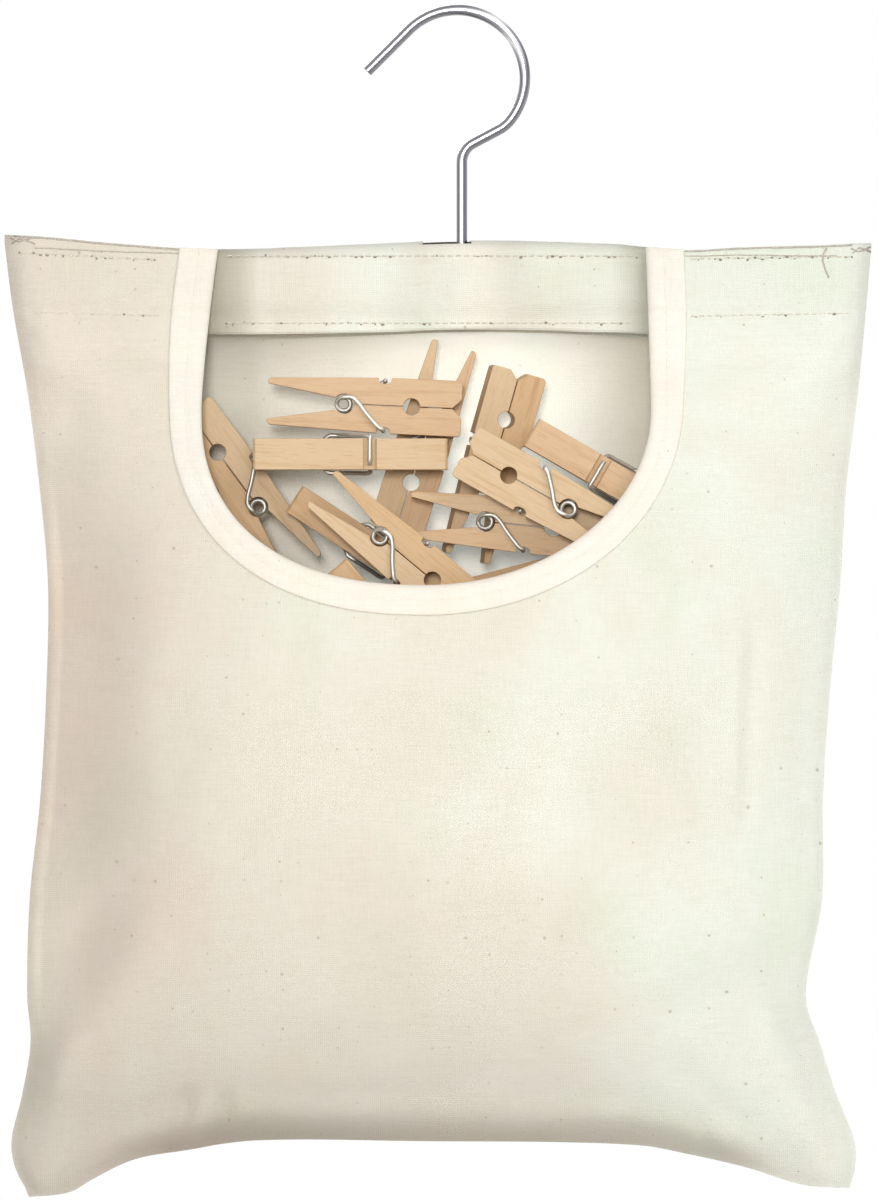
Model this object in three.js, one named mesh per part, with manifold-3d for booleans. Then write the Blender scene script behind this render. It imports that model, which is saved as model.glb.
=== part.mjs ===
// A canvas peg bag on a swivelling wire hook, holding wooden spring pegs.
// Millimetres, +Z up. The bag faces -Y. The origin is where the hook rests on a
// line or rail: the inner top of its bend.
import * as THREE from 'three';
import { mergeVertices } from 'three/addons/utils/BufferGeometryUtils.js';
import Module from 'manifold-3d';

const wasm = await Module();
wasm.setup();

// Clearances
const touchGap = 0.35;
const cutOverrun = 2;

// Hook: one bent steel wire with a round head at its foot
const wireDiameter = 4.06;
const hookRadius = 25.84;
const hookTipLength = 22.4;
const hookSweepAngle = 173;
const hookNeckAngle = 62.1;
const hookNeckRadius = 8;
const hookSlopeLength = 11.04;
const hookShoulderRadius = 14;
const hookShoulderAngle = 24.1;
const hookShankLength = 58.59;
const headDiameter = 7.2;
const headHeight = 2.6;
const wireSides = 12;
const wireStep = 2.4;
const straightStep = 7.2;

// Washer under the bar
const washerDiameter = 8.6;
const washerThickness = 0.8;
const washerSides = 20;

// Wooden bar inside the top channel of the cloth
const barLength = 296;
const barHeight = 18;
const barThickness = 9;
const barCornerRadius = 2;
const barTopDrop = 7;
const barCornerSteps = 3;
const boreSides = 16;

// Bag outline; its middle lies a little left of the hook's bend
const bagTopWidth = 329.4;
const bagShift = 7.2;
const bagHeight = 341;
const clothThickness = 1.1;
const hemDepth = 34;
const frontFullness = 49;
const backFullness = 41;
const mouthRise = 0.9;
const foldShare = 0.02;
const channelShare = 0.1;
const channelEndShare = 0.13;

// Slit in the top fold for the hook
const slitLength = 17.7;
const slitWidth = 4.9;
const slitShare = 0.84;

// Mouth of the front panel
const mouthWidth = 173;
const mouthShift = 4.5;
const mouthWidestDrop = 63.5;
const mouthDepth = 68;
const mouthLeftExponent = 2.35;
const mouthRightExponent = 2;
const mouthTopLeftDraw = 6.1;
const mouthTopRightDraw = 1.8;
const mouthDrawPower = 1.4;
const mouthSideShare = 0.24;
const cornerShare = 0.36;

// Binding tape folded over the mouth's edge
const bindingLeaf = 9.6;
const bindingThickness = 1;
const bindingOverhang = 1.4;
const bindingEase = 1.1;
const bindingSampleShare = 0.01;

// Spring peg
const pegToJaw = 44.8;
const pegToTip = 28.9;
const pegToHole = 25.8;
const pegToGroove = 15.4;
const pegWidth = 11.8;
const leverJawHeight = 10.6;
const leverTipHeight = 8.9;
const leverTipThickness = 2.2;
const gripHoleRadius = 3.2;
const jawBevel = 3.5;
const leverCornerCut = 0.9;
const grooveWidth = 5;
const grooveDepth = 2.3;
const grooveRoundness = 0.5;
const seatEndAngle = 142;
const leverArcSteps = 5;
const springWire = 1.7;
const coilRadius = 2.6;
const coilTurns = 4.5;
const coilPitch = 2.2;
const coilEndTurn = 0.25;

// Depths of the pegs in sight: those against the back panel, one that leans, one in the corner
const backLayer = 4;
const leaningEase = 2.6;
const cornerEase = 2.05;

// Heap of pegs in the lower part of the bag
const heapDrop = 17;
const heapSideGap = 12;
const heapClothGap = 2;
const heapCornerDraw = 0.13;
const heapCornerPower = 4;
const heapRowPower = 0.8;
const heapBottomShare = 0.98;

const steel = { color: 0xb9bcc2, roughness: 0.25, metalness: 1 };
const springSteel = { color: 0xc4c6c8, roughness: 0.3, metalness: 1 };
const beech = { color: 0xe8c496, roughness: 0.6, metalness: 0 };
const barWood = { color: 0xd9b98c, roughness: 0.7, metalness: 0 };
const canvas = { color: 0xebe4d3, roughness: 0.95, metalness: 0 };
const tape = { color: 0xfcfcf6, roughness: 0.9, metalness: 0 };

const object = new THREE.Group();

function addMesh(name, geometry, material, parent = object) {
  const mesh = new THREE.Mesh(geometry, new THREE.MeshStandardMaterial(material));
  mesh.name = name;
  parent.add(mesh);
  return mesh;
}

const radians = THREE.MathUtils.degToRad;
const lerp = THREE.MathUtils.lerp;
const clamp = THREE.MathUtils.clamp;

// Solids for cutting and joining

const weldReach = 1e-4;

function toSolid(geometry) {
  const bare = geometry.clone();
  bare.deleteAttribute('normal');
  bare.deleteAttribute('uv');
  const merged = mergeVertices(bare, weldReach);
  return new wasm.Manifold(new wasm.Mesh({
    numProp: 3,
    vertProperties: new Float32Array(merged.attributes.position.array),
    triVerts: new Uint32Array(merged.index.array),
  }));
}

function toGeometry(solid) {
  const mesh = solid.getMesh();
  const geometry = new THREE.BufferGeometry();
  geometry.setAttribute('position', new THREE.Float32BufferAttribute(mesh.vertProperties, 3));
  geometry.setIndex(new THREE.Uint32BufferAttribute(mesh.triVerts, 1));
  geometry.computeVertexNormals();
  return geometry;
}

function blockAt(width, depth, height, x, y, z) {
  return new THREE.BoxGeometry(width, depth, height).translate(x, y, z);
}

// An upright cylinder with its lower face at z
function discAt(radius, height, x, z, sides) {
  return new THREE.CylinderGeometry(radius, radius, height, sides)
    .rotateX(Math.PI / 2)
    .translate(x, 0, z + height / 2);
}

// A closed solid between two grids of points with the same rows and columns
function solidBetween(outer, inner) {
  const rows = outer.length;
  const columns = outer[0].length;
  const points = [...outer.flat(), ...inner.flat()];
  const offset = rows * columns;
  const faces = [];
  const quad = (a, b, c, d) => faces.push(a, b, c, a, c, d);
  for (let i = 0; i + 1 < rows; i++) {
    for (let j = 0; j + 1 < columns; j++) {
      const a = i * columns + j;
      const b = a + 1;
      const c = a + columns + 1;
      const d = a + columns;
      quad(a, b, c, d);
      quad(offset + d, offset + c, offset + b, offset + a);
    }
  }
  const rim = [];
  for (let j = 0; j + 1 < columns; j++) rim.push(j);
  for (let i = 0; i + 1 < rows; i++) rim.push(i * columns + columns - 1);
  for (let j = columns - 1; j > 0; j--) rim.push((rows - 1) * columns + j);
  for (let i = rows - 1; i > 0; i--) rim.push(i * columns);
  rim.forEach((a, k) => {
    const b = rim[(k + 1) % rim.length];
    quad(a, offset + a, offset + b, b);
  });
  return facingOut(points, faces);
}

// Turns a closed mesh so that its volume is positive
function facingOut(points, faces) {
  let volume = 0;
  for (let k = 0; k < faces.length; k += 3) {
    const [a, b, c] = [points[faces[k]], points[faces[k + 1]], points[faces[k + 2]]];
    volume += a.dot(b.clone().cross(c));
  }
  const turned = volume < 0 ? faces.slice().reverse() : faces;
  const geometry = new THREE.BufferGeometry();
  geometry.setAttribute('position',
    new THREE.Float32BufferAttribute(points.flatMap((p) => [p.x, p.y, p.z]), 3));
  geometry.setIndex(turned);
  geometry.computeVertexNormals();
  return geometry;
}

// A round tube along a list of points, with flat ends and sections that don't twist
function tubeAlong(path, radius, sides) {
  const rings = [];
  let side = null;
  path.forEach((point, k) => {
    const before = path[Math.max(k - 1, 0)];
    const after = path[Math.min(k + 1, path.length - 1)];
    const along = after.clone().sub(before).normalize();
    if (!side) {
      side = Math.abs(along.y) < Math.SQRT1_2 ? new THREE.Vector3(0, 1, 0) : new THREE.Vector3(1, 0, 0);
    }
    side = side.clone().addScaledVector(along, -side.dot(along)).normalize();
    const up = along.clone().cross(side);
    const ring = [];
    for (let j = 0; j < sides; j++) {
      const angle = (2 * Math.PI * j) / sides;
      ring.push(point.clone()
        .addScaledVector(side, radius * Math.cos(angle))
        .addScaledVector(up, radius * Math.sin(angle)));
    }
    rings.push(ring);
  });
  const points = [...rings.flat(), path[0].clone(), path.at(-1).clone()];
  const first = points.length - 2;
  const last = points.length - 1;
  const faces = [];
  for (let i = 0; i + 1 < rings.length; i++) {
    for (let j = 0; j < sides; j++) {
      const a = i * sides + j;
      const b = i * sides + ((j + 1) % sides);
      faces.push(a, b, b + sides, a, b + sides, a + sides);
    }
  }
  const end = (rings.length - 1) * sides;
  for (let j = 0; j < sides; j++) {
    const next = (j + 1) % sides;
    faces.push(first, next, j, last, end + j, end + next);
  }
  return facingOut(points, faces);
}

// Hook: the wire's centre line as straights and bends, from the foot up

function bentWire(start, heading, steps) {
  const points = [start.clone()];
  let at = start.clone();
  let angle = heading;
  for (const step of steps) {
    if (step.length) {
      const pieces = Math.max(1, Math.round(step.length / straightStep));
      for (let k = 1; k <= pieces; k++) {
        const go = (step.length * k) / pieces;
        points.push(new THREE.Vector3(at.x + go * Math.cos(angle), 0, at.z + go * Math.sin(angle)));
      }
    } else {
      const turn = radians(step.turn);
      const sign = Math.sign(turn);
      const centreX = at.x - sign * step.radius * Math.sin(angle);
      const centreZ = at.z + sign * step.radius * Math.cos(angle);
      const pieces = Math.max(3, Math.round((Math.abs(turn) * step.radius) / wireStep));
      for (let k = 1; k <= pieces; k++) {
        const now = angle + (turn * k) / pieces;
        points.push(new THREE.Vector3(
          centreX + sign * step.radius * Math.sin(now),
          0,
          centreZ - sign * step.radius * Math.cos(now),
        ));
      }
      angle += turn;
    }
    at = points.at(-1).clone();
  }
  return points;
}

function hookPath() {
  const foot = new THREE.Vector3();
  const neck = [
    { length: hookShankLength },
    { radius: hookNeckRadius, turn: -hookNeckAngle },
    { length: hookSlopeLength },
    { radius: hookShoulderRadius, turn: hookShoulderAngle },
  ];
  const bend = [{ radius: hookRadius, turn: hookSweepAngle }, { length: hookTipLength }];
  const bendStart = bentWire(foot, Math.PI / 2, neck).at(-1);
  const heading = Math.PI / 2 + radians(hookShoulderAngle - hookNeckAngle);
  const centreX = bendStart.x - hookRadius * Math.sin(heading);
  const centreZ = bendStart.z + hookRadius * Math.cos(heading);
  const shift = new THREE.Vector3(-centreX, 0, wireDiameter / 2 - hookRadius - centreZ);
  return bentWire(foot, Math.PI / 2, [...neck, ...bend]).map((p) => p.clone().add(shift));
}

const hookLine = hookPath();
const shankX = hookLine[0].x;
const shankRadius = wireDiameter / 2;

// The bar stands on the washer and the hook's head, and the bag hangs on the bar

const headTop = hookLine[0].z + headHeight / 2;
const washerTop = headTop + touchGap + washerThickness;
const barBottom = washerTop + touchGap;
const barTop = barBottom + barHeight;
const bagTop = barTop + barTopDrop;
const bagMiddle = -bagShift;
const bagLeft = bagMiddle - bagTopWidth / 2;
const mouthCentre = bagMiddle - mouthShift;
const mouthWidest = bagTop - mouthWidestDrop;

// Bag shape: smooth curves through tables of shares

function smoothTable(table, at) {
  const last = table.length - 1;
  if (at <= table[0][0]) return table[0][1];
  if (at >= table[last][0]) return table[last][1];
  let i = 0;
  while (at > table[i + 1][0]) i++;
  const slope = (k) => {
    const a = table[Math.max(k - 1, 0)];
    const b = table[Math.min(k + 1, last)];
    return (b[1] - a[1]) / (b[0] - a[0]);
  };
  const [x0, y0] = table[i];
  const [x1, y1] = table[i + 1];
  const width = x1 - x0;
  const t = (at - x0) / width;
  const square = t * t;
  const cube = square * t;
  return y0 * (2 * cube - 3 * square + 1) + slope(i) * width * (cube - 2 * square + t)
    + y1 * (3 * square - 2 * cube) + slope(i + 1) * width * (cube - square);
}

// How far each side draws in, as shares of the top width, at shares of the height
const leftDrawShares = [
  [0, 0], [0.07, 0.009], [0.17, 0.027], [0.27, 0.04], [0.38, 0.05], [0.5, 0.048],
  [0.62, 0.041], [0.73, 0.029], [0.84, 0.026], [0.89, 0.03], [0.95, 0.02],
  [1, 0.008], [1.03, 0.012], [1.06, 0.028],
];
const rightDrawShares = [
  [0, 0], [0.07, 0.006], [0.17, 0.016], [0.27, 0.029], [0.38, 0.036], [0.5, 0.048],
  [0.62, 0.056], [0.73, 0.057], [0.84, 0.076], [0.89, 0.06], [0.95, 0.04],
  [1, 0.02], [1.03, 0.019], [1.06, 0.028],
];
// How far the top edge dips and the bottom edge hangs lower, as shares of the height
const topDipShares = [
  [0, -0.009], [0.05, -0.006], [0.13, 0.001], [0.24, 0.007], [0.4, 0.002],
  [0.53, -0.003], [0.7, 0.001], [0.78, 0.008], [0.85, 0.005], [0.94, 0.003], [1, 0],
];
const bottomHangShares = [
  [0, 0.063], [0.05, 0.058], [0.085, 0.044], [0.145, 0.021], [0.2, 0.012], [0.29, 0],
  [0.5, 0.001], [0.65, 0.002], [0.75, 0.006], [0.8, 0.015], [0.87, 0.03], [0.94, 0.049], [1, 0.053],
];
// Depth of each panel in front of and behind the seam, as shares of its fullness
const frontDepthShares = [
  [0, 0.148], [0.095, 0.166], [0.14, 0.3], [0.2, 0.52], [0.27, 0.74], [0.34, 0.88],
  [0.42, 0.94], [0.55, 0.99], [0.73, 1], [0.85, 0.86], [0.95, 0.42], [1, 0.004],
];
const backDepthShares = [
  [0, 0.125], [0.085, 0.147], [0.11, 0.262], [0.14, 0.36], [0.2, 0.46], [0.27, 0.56],
  [0.38, 0.72], [0.55, 0.93], [0.73, 1], [0.85, 0.88], [0.95, 0.44], [1, 0.005],
];
// How square the bag's cross-section is, from the flat channel down to the round belly
const squareShares = [[0, 40], [0.1, 30], [0.16, 8], [0.24, 4], [0.34, 3.2], [0.6, 2.8], [1, 2.4]];

const leftAt = (drop) => bagLeft + bagTopWidth * smoothTable(leftDrawShares, drop);
const rightAt = (drop) => bagLeft + bagTopWidth * (1 - smoothTable(rightDrawShares, drop));
const topAt = (s) => bagTop - bagHeight * smoothTable(topDipShares, s);
const bottomAt = (s) => bagTop - bagHeight * (1 + smoothTable(bottomHangShares, s));

// A place on the bag: s runs from the left to the right side, t from the top to the bottom
function placeAt(s, t) {
  const z = lerp(topAt(s), bottomAt(s), t);
  const drop = (bagTop - z) / bagHeight;
  return { x: lerp(leftAt(drop), rightAt(drop), s), z };
}

function shareOf(x, z) {
  const drop = (bagTop - z) / bagHeight;
  const s = (x - leftAt(drop)) / (rightAt(drop) - leftAt(drop));
  return { s, t: (topAt(s) - z) / (topAt(s) - bottomAt(s)) };
}

function depthOf(s, t, fullness, shares) {
  const across = Math.abs(2 * clamp(s, 0, 1) - 1);
  const power = smoothTable(squareShares, t);
  return fullness * smoothTable(shares, clamp(t, 0, 1)) * (1 - across ** power);
}

const seamGap = touchGap / 2;
// In the channel the front panel lies over the turned-in hem of the back panel
const hemStep = (t) => (clothThickness + 2 * touchGap)
  * (1 - THREE.MathUtils.smoothstep(t, channelShare, channelEndShare));
const frontInner = (s, t) => -(depthOf(s, t, frontFullness, frontDepthShares) + seamGap + hemStep(t));
const backInner = (s, t) => depthOf(s, t, backFullness, backDepthShares) + seamGap;

// Back panel: one cloth from the bottom seam up the back, over the bar and down in front of it

const backColumns = 22;
const backRows = 20;
const foldRows = 6;
const hemRows = 3;

function backPanel() {
  const inner = [];
  const outer = [];
  const columns = Array.from({ length: backColumns + 1 }, (_, j) => j / backColumns);
  for (let i = 0; i <= backRows; i++) {
    const t = 1 - (i / backRows) * (1 - foldShare);
    inner.push(columns.map((s) => {
      const { x, z } = placeAt(s, t);
      return new THREE.Vector3(x, backInner(s, t), z);
    }));
    outer.push(columns.map((s) => {
      const { x, z } = placeAt(s, t);
      return new THREE.Vector3(x, backInner(s, t) + clothThickness, z);
    }));
  }
  const foldPoint = (s, angle, extra) => {
    const radius = backInner(s, foldShare);
    const { x } = placeAt(s, 0);
    const centre = topAt(s) - radius - clothThickness;
    return new THREE.Vector3(
      x,
      (radius + extra) * Math.cos(angle),
      centre + (radius + extra) * Math.sin(angle),
    );
  };
  for (let i = 0; i <= foldRows; i++) {
    const angle = (Math.PI * i) / foldRows;
    inner.push(columns.map((s) => foldPoint(s, angle, 0)));
    outer.push(columns.map((s) => foldPoint(s, angle, clothThickness)));
  }
  for (let i = 1; i <= hemRows; i++) {
    const hemPoint = (s, extra) => {
      const start = foldPoint(s, Math.PI, extra);
      const z = lerp(start.z, topAt(s) - hemDepth, i / hemRows);
      const { x } = placeAt(s, (topAt(s) - z) / (topAt(s) - bottomAt(s)));
      return new THREE.Vector3(x, start.y, z);
    };
    inner.push(columns.map((s) => hemPoint(s, 0)));
    outer.push(columns.map((s) => hemPoint(s, clothThickness)));
  }
  const cloth = toSolid(solidBetween(outer, inner));
  const slit = toSolid(blockAt(
    slitLength, slitWidth, barTopDrop + cutOverrun,
    shankX + slitLength / 2 - slitLength * slitShare, 0, bagTop - barTopDrop / 2 + cutOverrun / 2,
  ));
  return toGeometry(cloth.subtract(slit));
}

// Mouth edge of the front panel, from its upper left end round the bottom to its upper right end

function mouthPoint(a) {
  const half = mouthWidth / 2;
  const topZ = bagTop - mouthRise;
  const sideAt = (up) => ({ draw: up ** mouthDrawPower, z: lerp(mouthWidest, topZ, up) });
  if (a < mouthSideShare) {
    const { draw, z } = sideAt(1 - a / mouthSideShare);
    return { x: mouthCentre - half + mouthTopLeftDraw * draw, z };
  }
  if (a > 1 - mouthSideShare) {
    const { draw, z } = sideAt((a - 1 + mouthSideShare) / mouthSideShare);
    return { x: mouthCentre + half - mouthTopRightDraw * draw, z };
  }
  const angle = Math.PI * (1 + (a - mouthSideShare) / (1 - 2 * mouthSideShare));
  const power = 2 / (angle < 1.5 * Math.PI ? mouthLeftExponent : mouthRightExponent);
  const curve = (value) => Math.sign(value) * Math.abs(value) ** power;
  return {
    x: mouthCentre + half * curve(Math.cos(angle)),
    z: mouthWidest + mouthDepth * curve(Math.sin(angle)),
  };
}

// Outer edge of the front panel, from its top left corner round the bottom to its top right one
function frameShare(a) {
  if (a < cornerShare) return { s: 0, t: a / cornerShare };
  if (a > 1 - cornerShare) return { s: 1, t: (1 - a) / cornerShare };
  return { s: (a - cornerShare) / (1 - 2 * cornerShare), t: 1 };
}

const frontColumns = 50;
const frontRows = 10;

function frontPanel() {
  const inner = [];
  const outer = [];
  for (let i = 0; i <= frontColumns; i++) {
    const a = i / frontColumns;
    const mouth = mouthPoint(a);
    const from = shareOf(mouth.x, mouth.z);
    const to = frameShare(a);
    const innerRow = [];
    const outerRow = [];
    for (let j = 0; j <= frontRows; j++) {
      const share = (1 - Math.cos((Math.PI * j) / frontRows)) / 2;
      const s = lerp(from.s, to.s, share);
      const t = lerp(from.t, to.t, share);
      const { x, z } = placeAt(s, t);
      const y = frontInner(s, t);
      innerRow.push(new THREE.Vector3(x, y, z));
      outerRow.push(new THREE.Vector3(x, y - clothThickness, z));
    }
    inner.push(innerRow);
    outer.push(outerRow);
  }
  return solidBetween(outer, inner);
}

// Binding: a folded tape with a leaf on each face of the front panel

function mouthBinding() {
  const sections = [];
  for (let i = 0; i <= frontColumns; i++) {
    const a = i / frontColumns;
    const here = mouthPoint(a);
    const before = mouthPoint(Math.max(a - bindingSampleShare, 0));
    const after = mouthPoint(Math.min(a + bindingSampleShare, 1));
    const along = new THREE.Vector2(after.x - before.x, after.z - before.z).normalize();
    const out = new THREE.Vector2(along.y, -along.x);
    const at = (reach, lift) => {
      const x = here.x + out.x * reach;
      const z = here.z + out.y * reach;
      const { s, t } = shareOf(x, z);
      return new THREE.Vector3(x, frontInner(s, t) - clothThickness / 2 - lift, z);
    };
    const near = clothThickness / 2 + bindingEase;
    const far = near + bindingThickness;
    sections.push([
      at(bindingLeaf, far), at(bindingLeaf / 2, far), at(0, far), at(-bindingOverhang, near),
      at(-bindingOverhang, -near), at(0, -far), at(bindingLeaf / 2, -far), at(bindingLeaf, -far),
      at(bindingLeaf, -near), at(bindingLeaf / 2, -near), at(-touchGap, -near),
      at(-touchGap, near), at(bindingLeaf / 2, near), at(bindingLeaf, near),
    ]);
  }
  const sides = sections[0].length;
  const points = sections.flat();
  const faces = [];
  for (let i = 0; i + 1 < sections.length; i++) {
    for (let j = 0; j < sides; j++) {
      const a = i * sides + j;
      const b = i * sides + ((j + 1) % sides);
      faces.push(a, b, b + sides, a, b + sides, a + sides);
    }
  }
  const contour = sections[0].map((p) => new THREE.Vector2(
    p.clone().sub(sections[0][0]).dot(new THREE.Vector3(1, 0, 0)), p.y,
  ));
  const end = (sections.length - 1) * sides;
  for (const [a, b, c] of THREE.ShapeUtils.triangulateShape(contour, [])) {
    const flip = THREE.ShapeUtils.isClockWise(contour);
    faces.push(...(flip ? [a, b, c] : [a, c, b]));
    faces.push(...(flip ? [end + a, end + c, end + b] : [end + a, end + b, end + c]));
  }
  return facingOut(points, faces);
}

// Bar, washer and hook

function hangerBar() {
  const half = barThickness / 2;
  const outline = new THREE.Shape();
  const r = barCornerRadius;
  outline.moveTo(-half + r, -barHeight / 2);
  outline.lineTo(half - r, -barHeight / 2);
  outline.absarc(half - r, -barHeight / 2 + r, r, -Math.PI / 2, 0);
  outline.absarc(half - r, barHeight / 2 - r, r, 0, Math.PI / 2);
  outline.absarc(-half + r, barHeight / 2 - r, r, Math.PI / 2, Math.PI);
  outline.absarc(-half + r, -barHeight / 2 + r, r, Math.PI, 1.5 * Math.PI);
  const settings = { depth: barLength, bevelEnabled: false, curveSegments: barCornerSteps };
  const blank = new THREE.ExtrudeGeometry(outline, settings)
    .rotateX(Math.PI / 2)
    .rotateZ(Math.PI / 2)
    .translate(bagMiddle - barLength / 2, 0, (barTop + barBottom) / 2);
  const boreLength = barHeight + 2 * cutOverrun;
  const bore = discAt(shankRadius + touchGap, boreLength, shankX, barBottom - cutOverrun, boreSides);
  return toGeometry(toSolid(blank).subtract(toSolid(bore)));
}

function washer() {
  const foot = washerTop - washerThickness;
  const ring = toSolid(discAt(washerDiameter / 2, washerThickness, shankX, foot, washerSides));
  const boreLength = washerThickness + 2 * cutOverrun;
  const bore = discAt(shankRadius + touchGap, boreLength, shankX, foot - cutOverrun, washerSides);
  return toGeometry(ring.subtract(toSolid(bore)));
}

function hook() {
  const wire = toSolid(tubeAlong(hookLine, shankRadius, wireSides));
  const head = toSolid(discAt(headDiameter / 2, headHeight, shankX, headTop - headHeight, washerSides));
  return toGeometry(wire.add(head));
}

// Peg lever: its side outline, cut through the width. The inner face looks to -Z.

const coilOuter = coilRadius + springWire / 2;
const seatRadius = coilOuter + touchGap;
const grooveSides = 5;

function leverOutline() {
  const face = touchGap / 2;
  const outline = new THREE.Shape();
  const seatStart = Math.asin(face / seatRadius);
  const seatEnd = radians(seatEndAngle);
  const holeReach = Math.sqrt(gripHoleRadius ** 2 - face ** 2);
  const slope = (leverJawHeight - leverTipHeight) / (pegToGroove + pegToTip);
  const heightAt = (u) => leverJawHeight + Math.min(0, u - pegToGroove) * slope;
  outline.moveTo(seatRadius * Math.cos(seatEnd), seatRadius * Math.sin(seatEnd));
  outline.absarc(0, 0, seatRadius, seatEnd, seatStart, true);
  outline.lineTo(pegToHole - holeReach, face);
  const holeStart = Math.atan2(face, -holeReach);
  outline.absarc(pegToHole, 0, gripHoleRadius, holeStart, Math.PI - holeStart, true);
  outline.lineTo(pegToJaw - jawBevel, face);
  outline.lineTo(pegToJaw, jawBevel);
  outline.lineTo(pegToJaw, leverJawHeight - leverCornerCut);
  outline.lineTo(pegToJaw - leverCornerCut, leverJawHeight);
  const grooveRight = pegToGroove + grooveWidth / 2;
  const grooveLeft = pegToGroove - grooveWidth / 2;
  outline.lineTo(grooveRight, leverJawHeight);
  for (let k = 1; k < grooveSides; k++) {
    const angle = (Math.PI * k) / grooveSides;
    outline.lineTo(
      pegToGroove + (grooveWidth / 2) * Math.cos(angle),
      leverJawHeight - grooveDepth * Math.sin(angle) ** grooveRoundness,
    );
  }
  outline.lineTo(grooveLeft, heightAt(grooveLeft));
  outline.lineTo(-pegToTip + leverCornerCut, leverTipHeight);
  outline.lineTo(-pegToTip, leverTipHeight - leverCornerCut);
  outline.lineTo(-pegToTip, leverTipHeight - leverTipThickness);
  return outline;
}

const leverShape = leverOutline();

// The lever on the +Z side of the peg, or its mirror image on the -Z side
function leverGeometry(side) {
  const settings = { depth: pegWidth, bevelEnabled: false, curveSegments: leverArcSteps };
  const blank = new THREE.ExtrudeGeometry(leverShape, settings)
    .translate(0, 0, -pegWidth / 2)
    .rotateX(Math.PI / 2);
  return side > 0 ? blank : blank.rotateX(Math.PI);
}

// Peg spring: arm, coil and arm in one wire, alike when turned half round the peg's length

const curlSteps = 8;
const springSides = 5;
const armSteps = 9;
const armSide = pegWidth / 2 + touchGap + springWire / 2;

// The arm's course from the coil to the groove, as shares of the way along and of the height
const armShares = [[0.2, 1], [0.38, 0.82], [0.55, 0.55], [0.74, 0.28], [0.9, 0.08]];

function springLine() {
  const wireZ = leverJawHeight - grooveDepth + touchGap + springWire / 2;
  const innerHalf = ((coilTurns - 2 * coilEndTurn) * coilPitch) / 2;
  const bend = springWire / 2;
  const arm = armShares.map(([along, share]) => new THREE.Vector3(
    pegToGroove * along, -armSide, lerp(-wireZ, coilRadius, share),
  ));
  arm.push(
    new THREE.Vector3(pegToGroove, -armSide + bend / 2, -wireZ + bend / 4),
    new THREE.Vector3(pegToGroove, -armSide + 2 * bend, -wireZ),
    new THREE.Vector3(pegToGroove, pegWidth / 2 - 2 * bend, -wireZ),
  );
  const start = new THREE.Vector3(0, -armSide, coilRadius);
  const curve = new THREE.CatmullRomCurve3([start, ...arm], false, 'centripetal');
  const curved = Array.from({ length: armSteps }, (_, k) => curve.getPoint((k + 1) / armSteps));
  const coil = [];
  const steps = Math.round(coilTurns * curlSteps);
  for (let k = 0; k <= steps; k++) {
    const turns = (coilTurns * k) / steps;
    const angle = Math.PI / 2 + 2 * Math.PI * turns;
    const past = Math.max(0, coilEndTurn - turns, turns - coilTurns + coilEndTurn);
    const outward = past / coilEndTurn;
    const inward = clamp(turns, coilEndTurn, coilTurns - coilEndTurn) - coilTurns / 2;
    const y = inward * coilPitch + Math.sign(inward) * outward * (armSide - innerHalf);
    coil.push(new THREE.Vector3(coilRadius * Math.cos(angle), y, coilRadius * Math.sin(angle)));
  }
  const turned = curved.map((p) => new THREE.Vector3(p.x, -p.y, -p.z));
  return [...curved.reverse(), ...coil, ...turned];
}

// The least gap between stretches of the wire that lie over a wire's width apart along it
function leastSelfGap(line, diameter) {
  let least = Infinity;
  const length = [0];
  for (let k = 1; k < line.length; k++) length.push(length[k - 1] + line[k].distanceTo(line[k - 1]));
  for (let i = 0; i < line.length; i++) {
    for (let j = i + 1; j < line.length; j++) {
      if (length[j] - length[i] > Math.PI * diameter) least = Math.min(least, line[i].distanceTo(line[j]));
    }
  }
  return least - diameter;
}

const springCourse = springLine();
console.log(`least gap of a peg spring to itself: ${leastSelfGap(springCourse, springWire).toFixed(2)} mm`);

// Where each peg lies: its coil right of the mouth's centre and above its lowest edge, as
// shares of a peg's length; the way from coil to jaws in degrees up from +X; its turn about
// its own length; and the side of its length that its free lever lies on
const pegLength = pegToJaw + pegToTip;
const mouthBottom = mouthWidest - mouthDepth;
const armReach = armSide + springWire / 2;
const bodyReach = pegWidth / 2;
const edgeLayer = backLayer - armReach - touchGap - leverJawHeight;
const upperLayer = backLayer - armReach - touchGap - bodyReach;
const middleLayer = backLayer - 2 * armReach - touchGap;
const leaningLayer = backLayer - leaningEase;
const cornerLayer = backLayer - cornerEase;
const frontLayer = middleLayer - armReach - bodyReach - touchGap;
const pegPlaces = [
  { acrossShare: -0.4249, upShare: 0.9513, depth: upperLayer, heading: -2.5, roll: 0, free: 1 },
  { acrossShare: 0.02817, upShare: 0.8821, depth: backLayer, heading: -107.6, roll: 0, free: -1 },
  { acrossShare: 0.3075, upShare: 0.5361, depth: leaningLayer, heading: 74.2, roll: 8, free: -1 },
  { acrossShare: -0.4976, upShare: 0.692, depth: edgeLayer, heading: 0, roll: 90, free: 1 },
  { acrossShare: 1.066, upShare: 0.5019, depth: edgeLayer, heading: 150, roll: 90, free: 1 },
  { acrossShare: 0.7277, upShare: 0.4097, depth: frontLayer, heading: 150.5, roll: 0, free: 1 },
  { acrossShare: 0.3028, upShare: 0.346, depth: middleLayer, heading: -5.5, roll: 0, free: -1 },
  { acrossShare: -0.8662, upShare: 0.4226, depth: cornerLayer, heading: 126.6, roll: 0, free: 1 },
  { acrossShare: -0.2371, upShare: 0.2685, depth: frontLayer, heading: -39.8, roll: 0, free: 1 },
];

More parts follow.
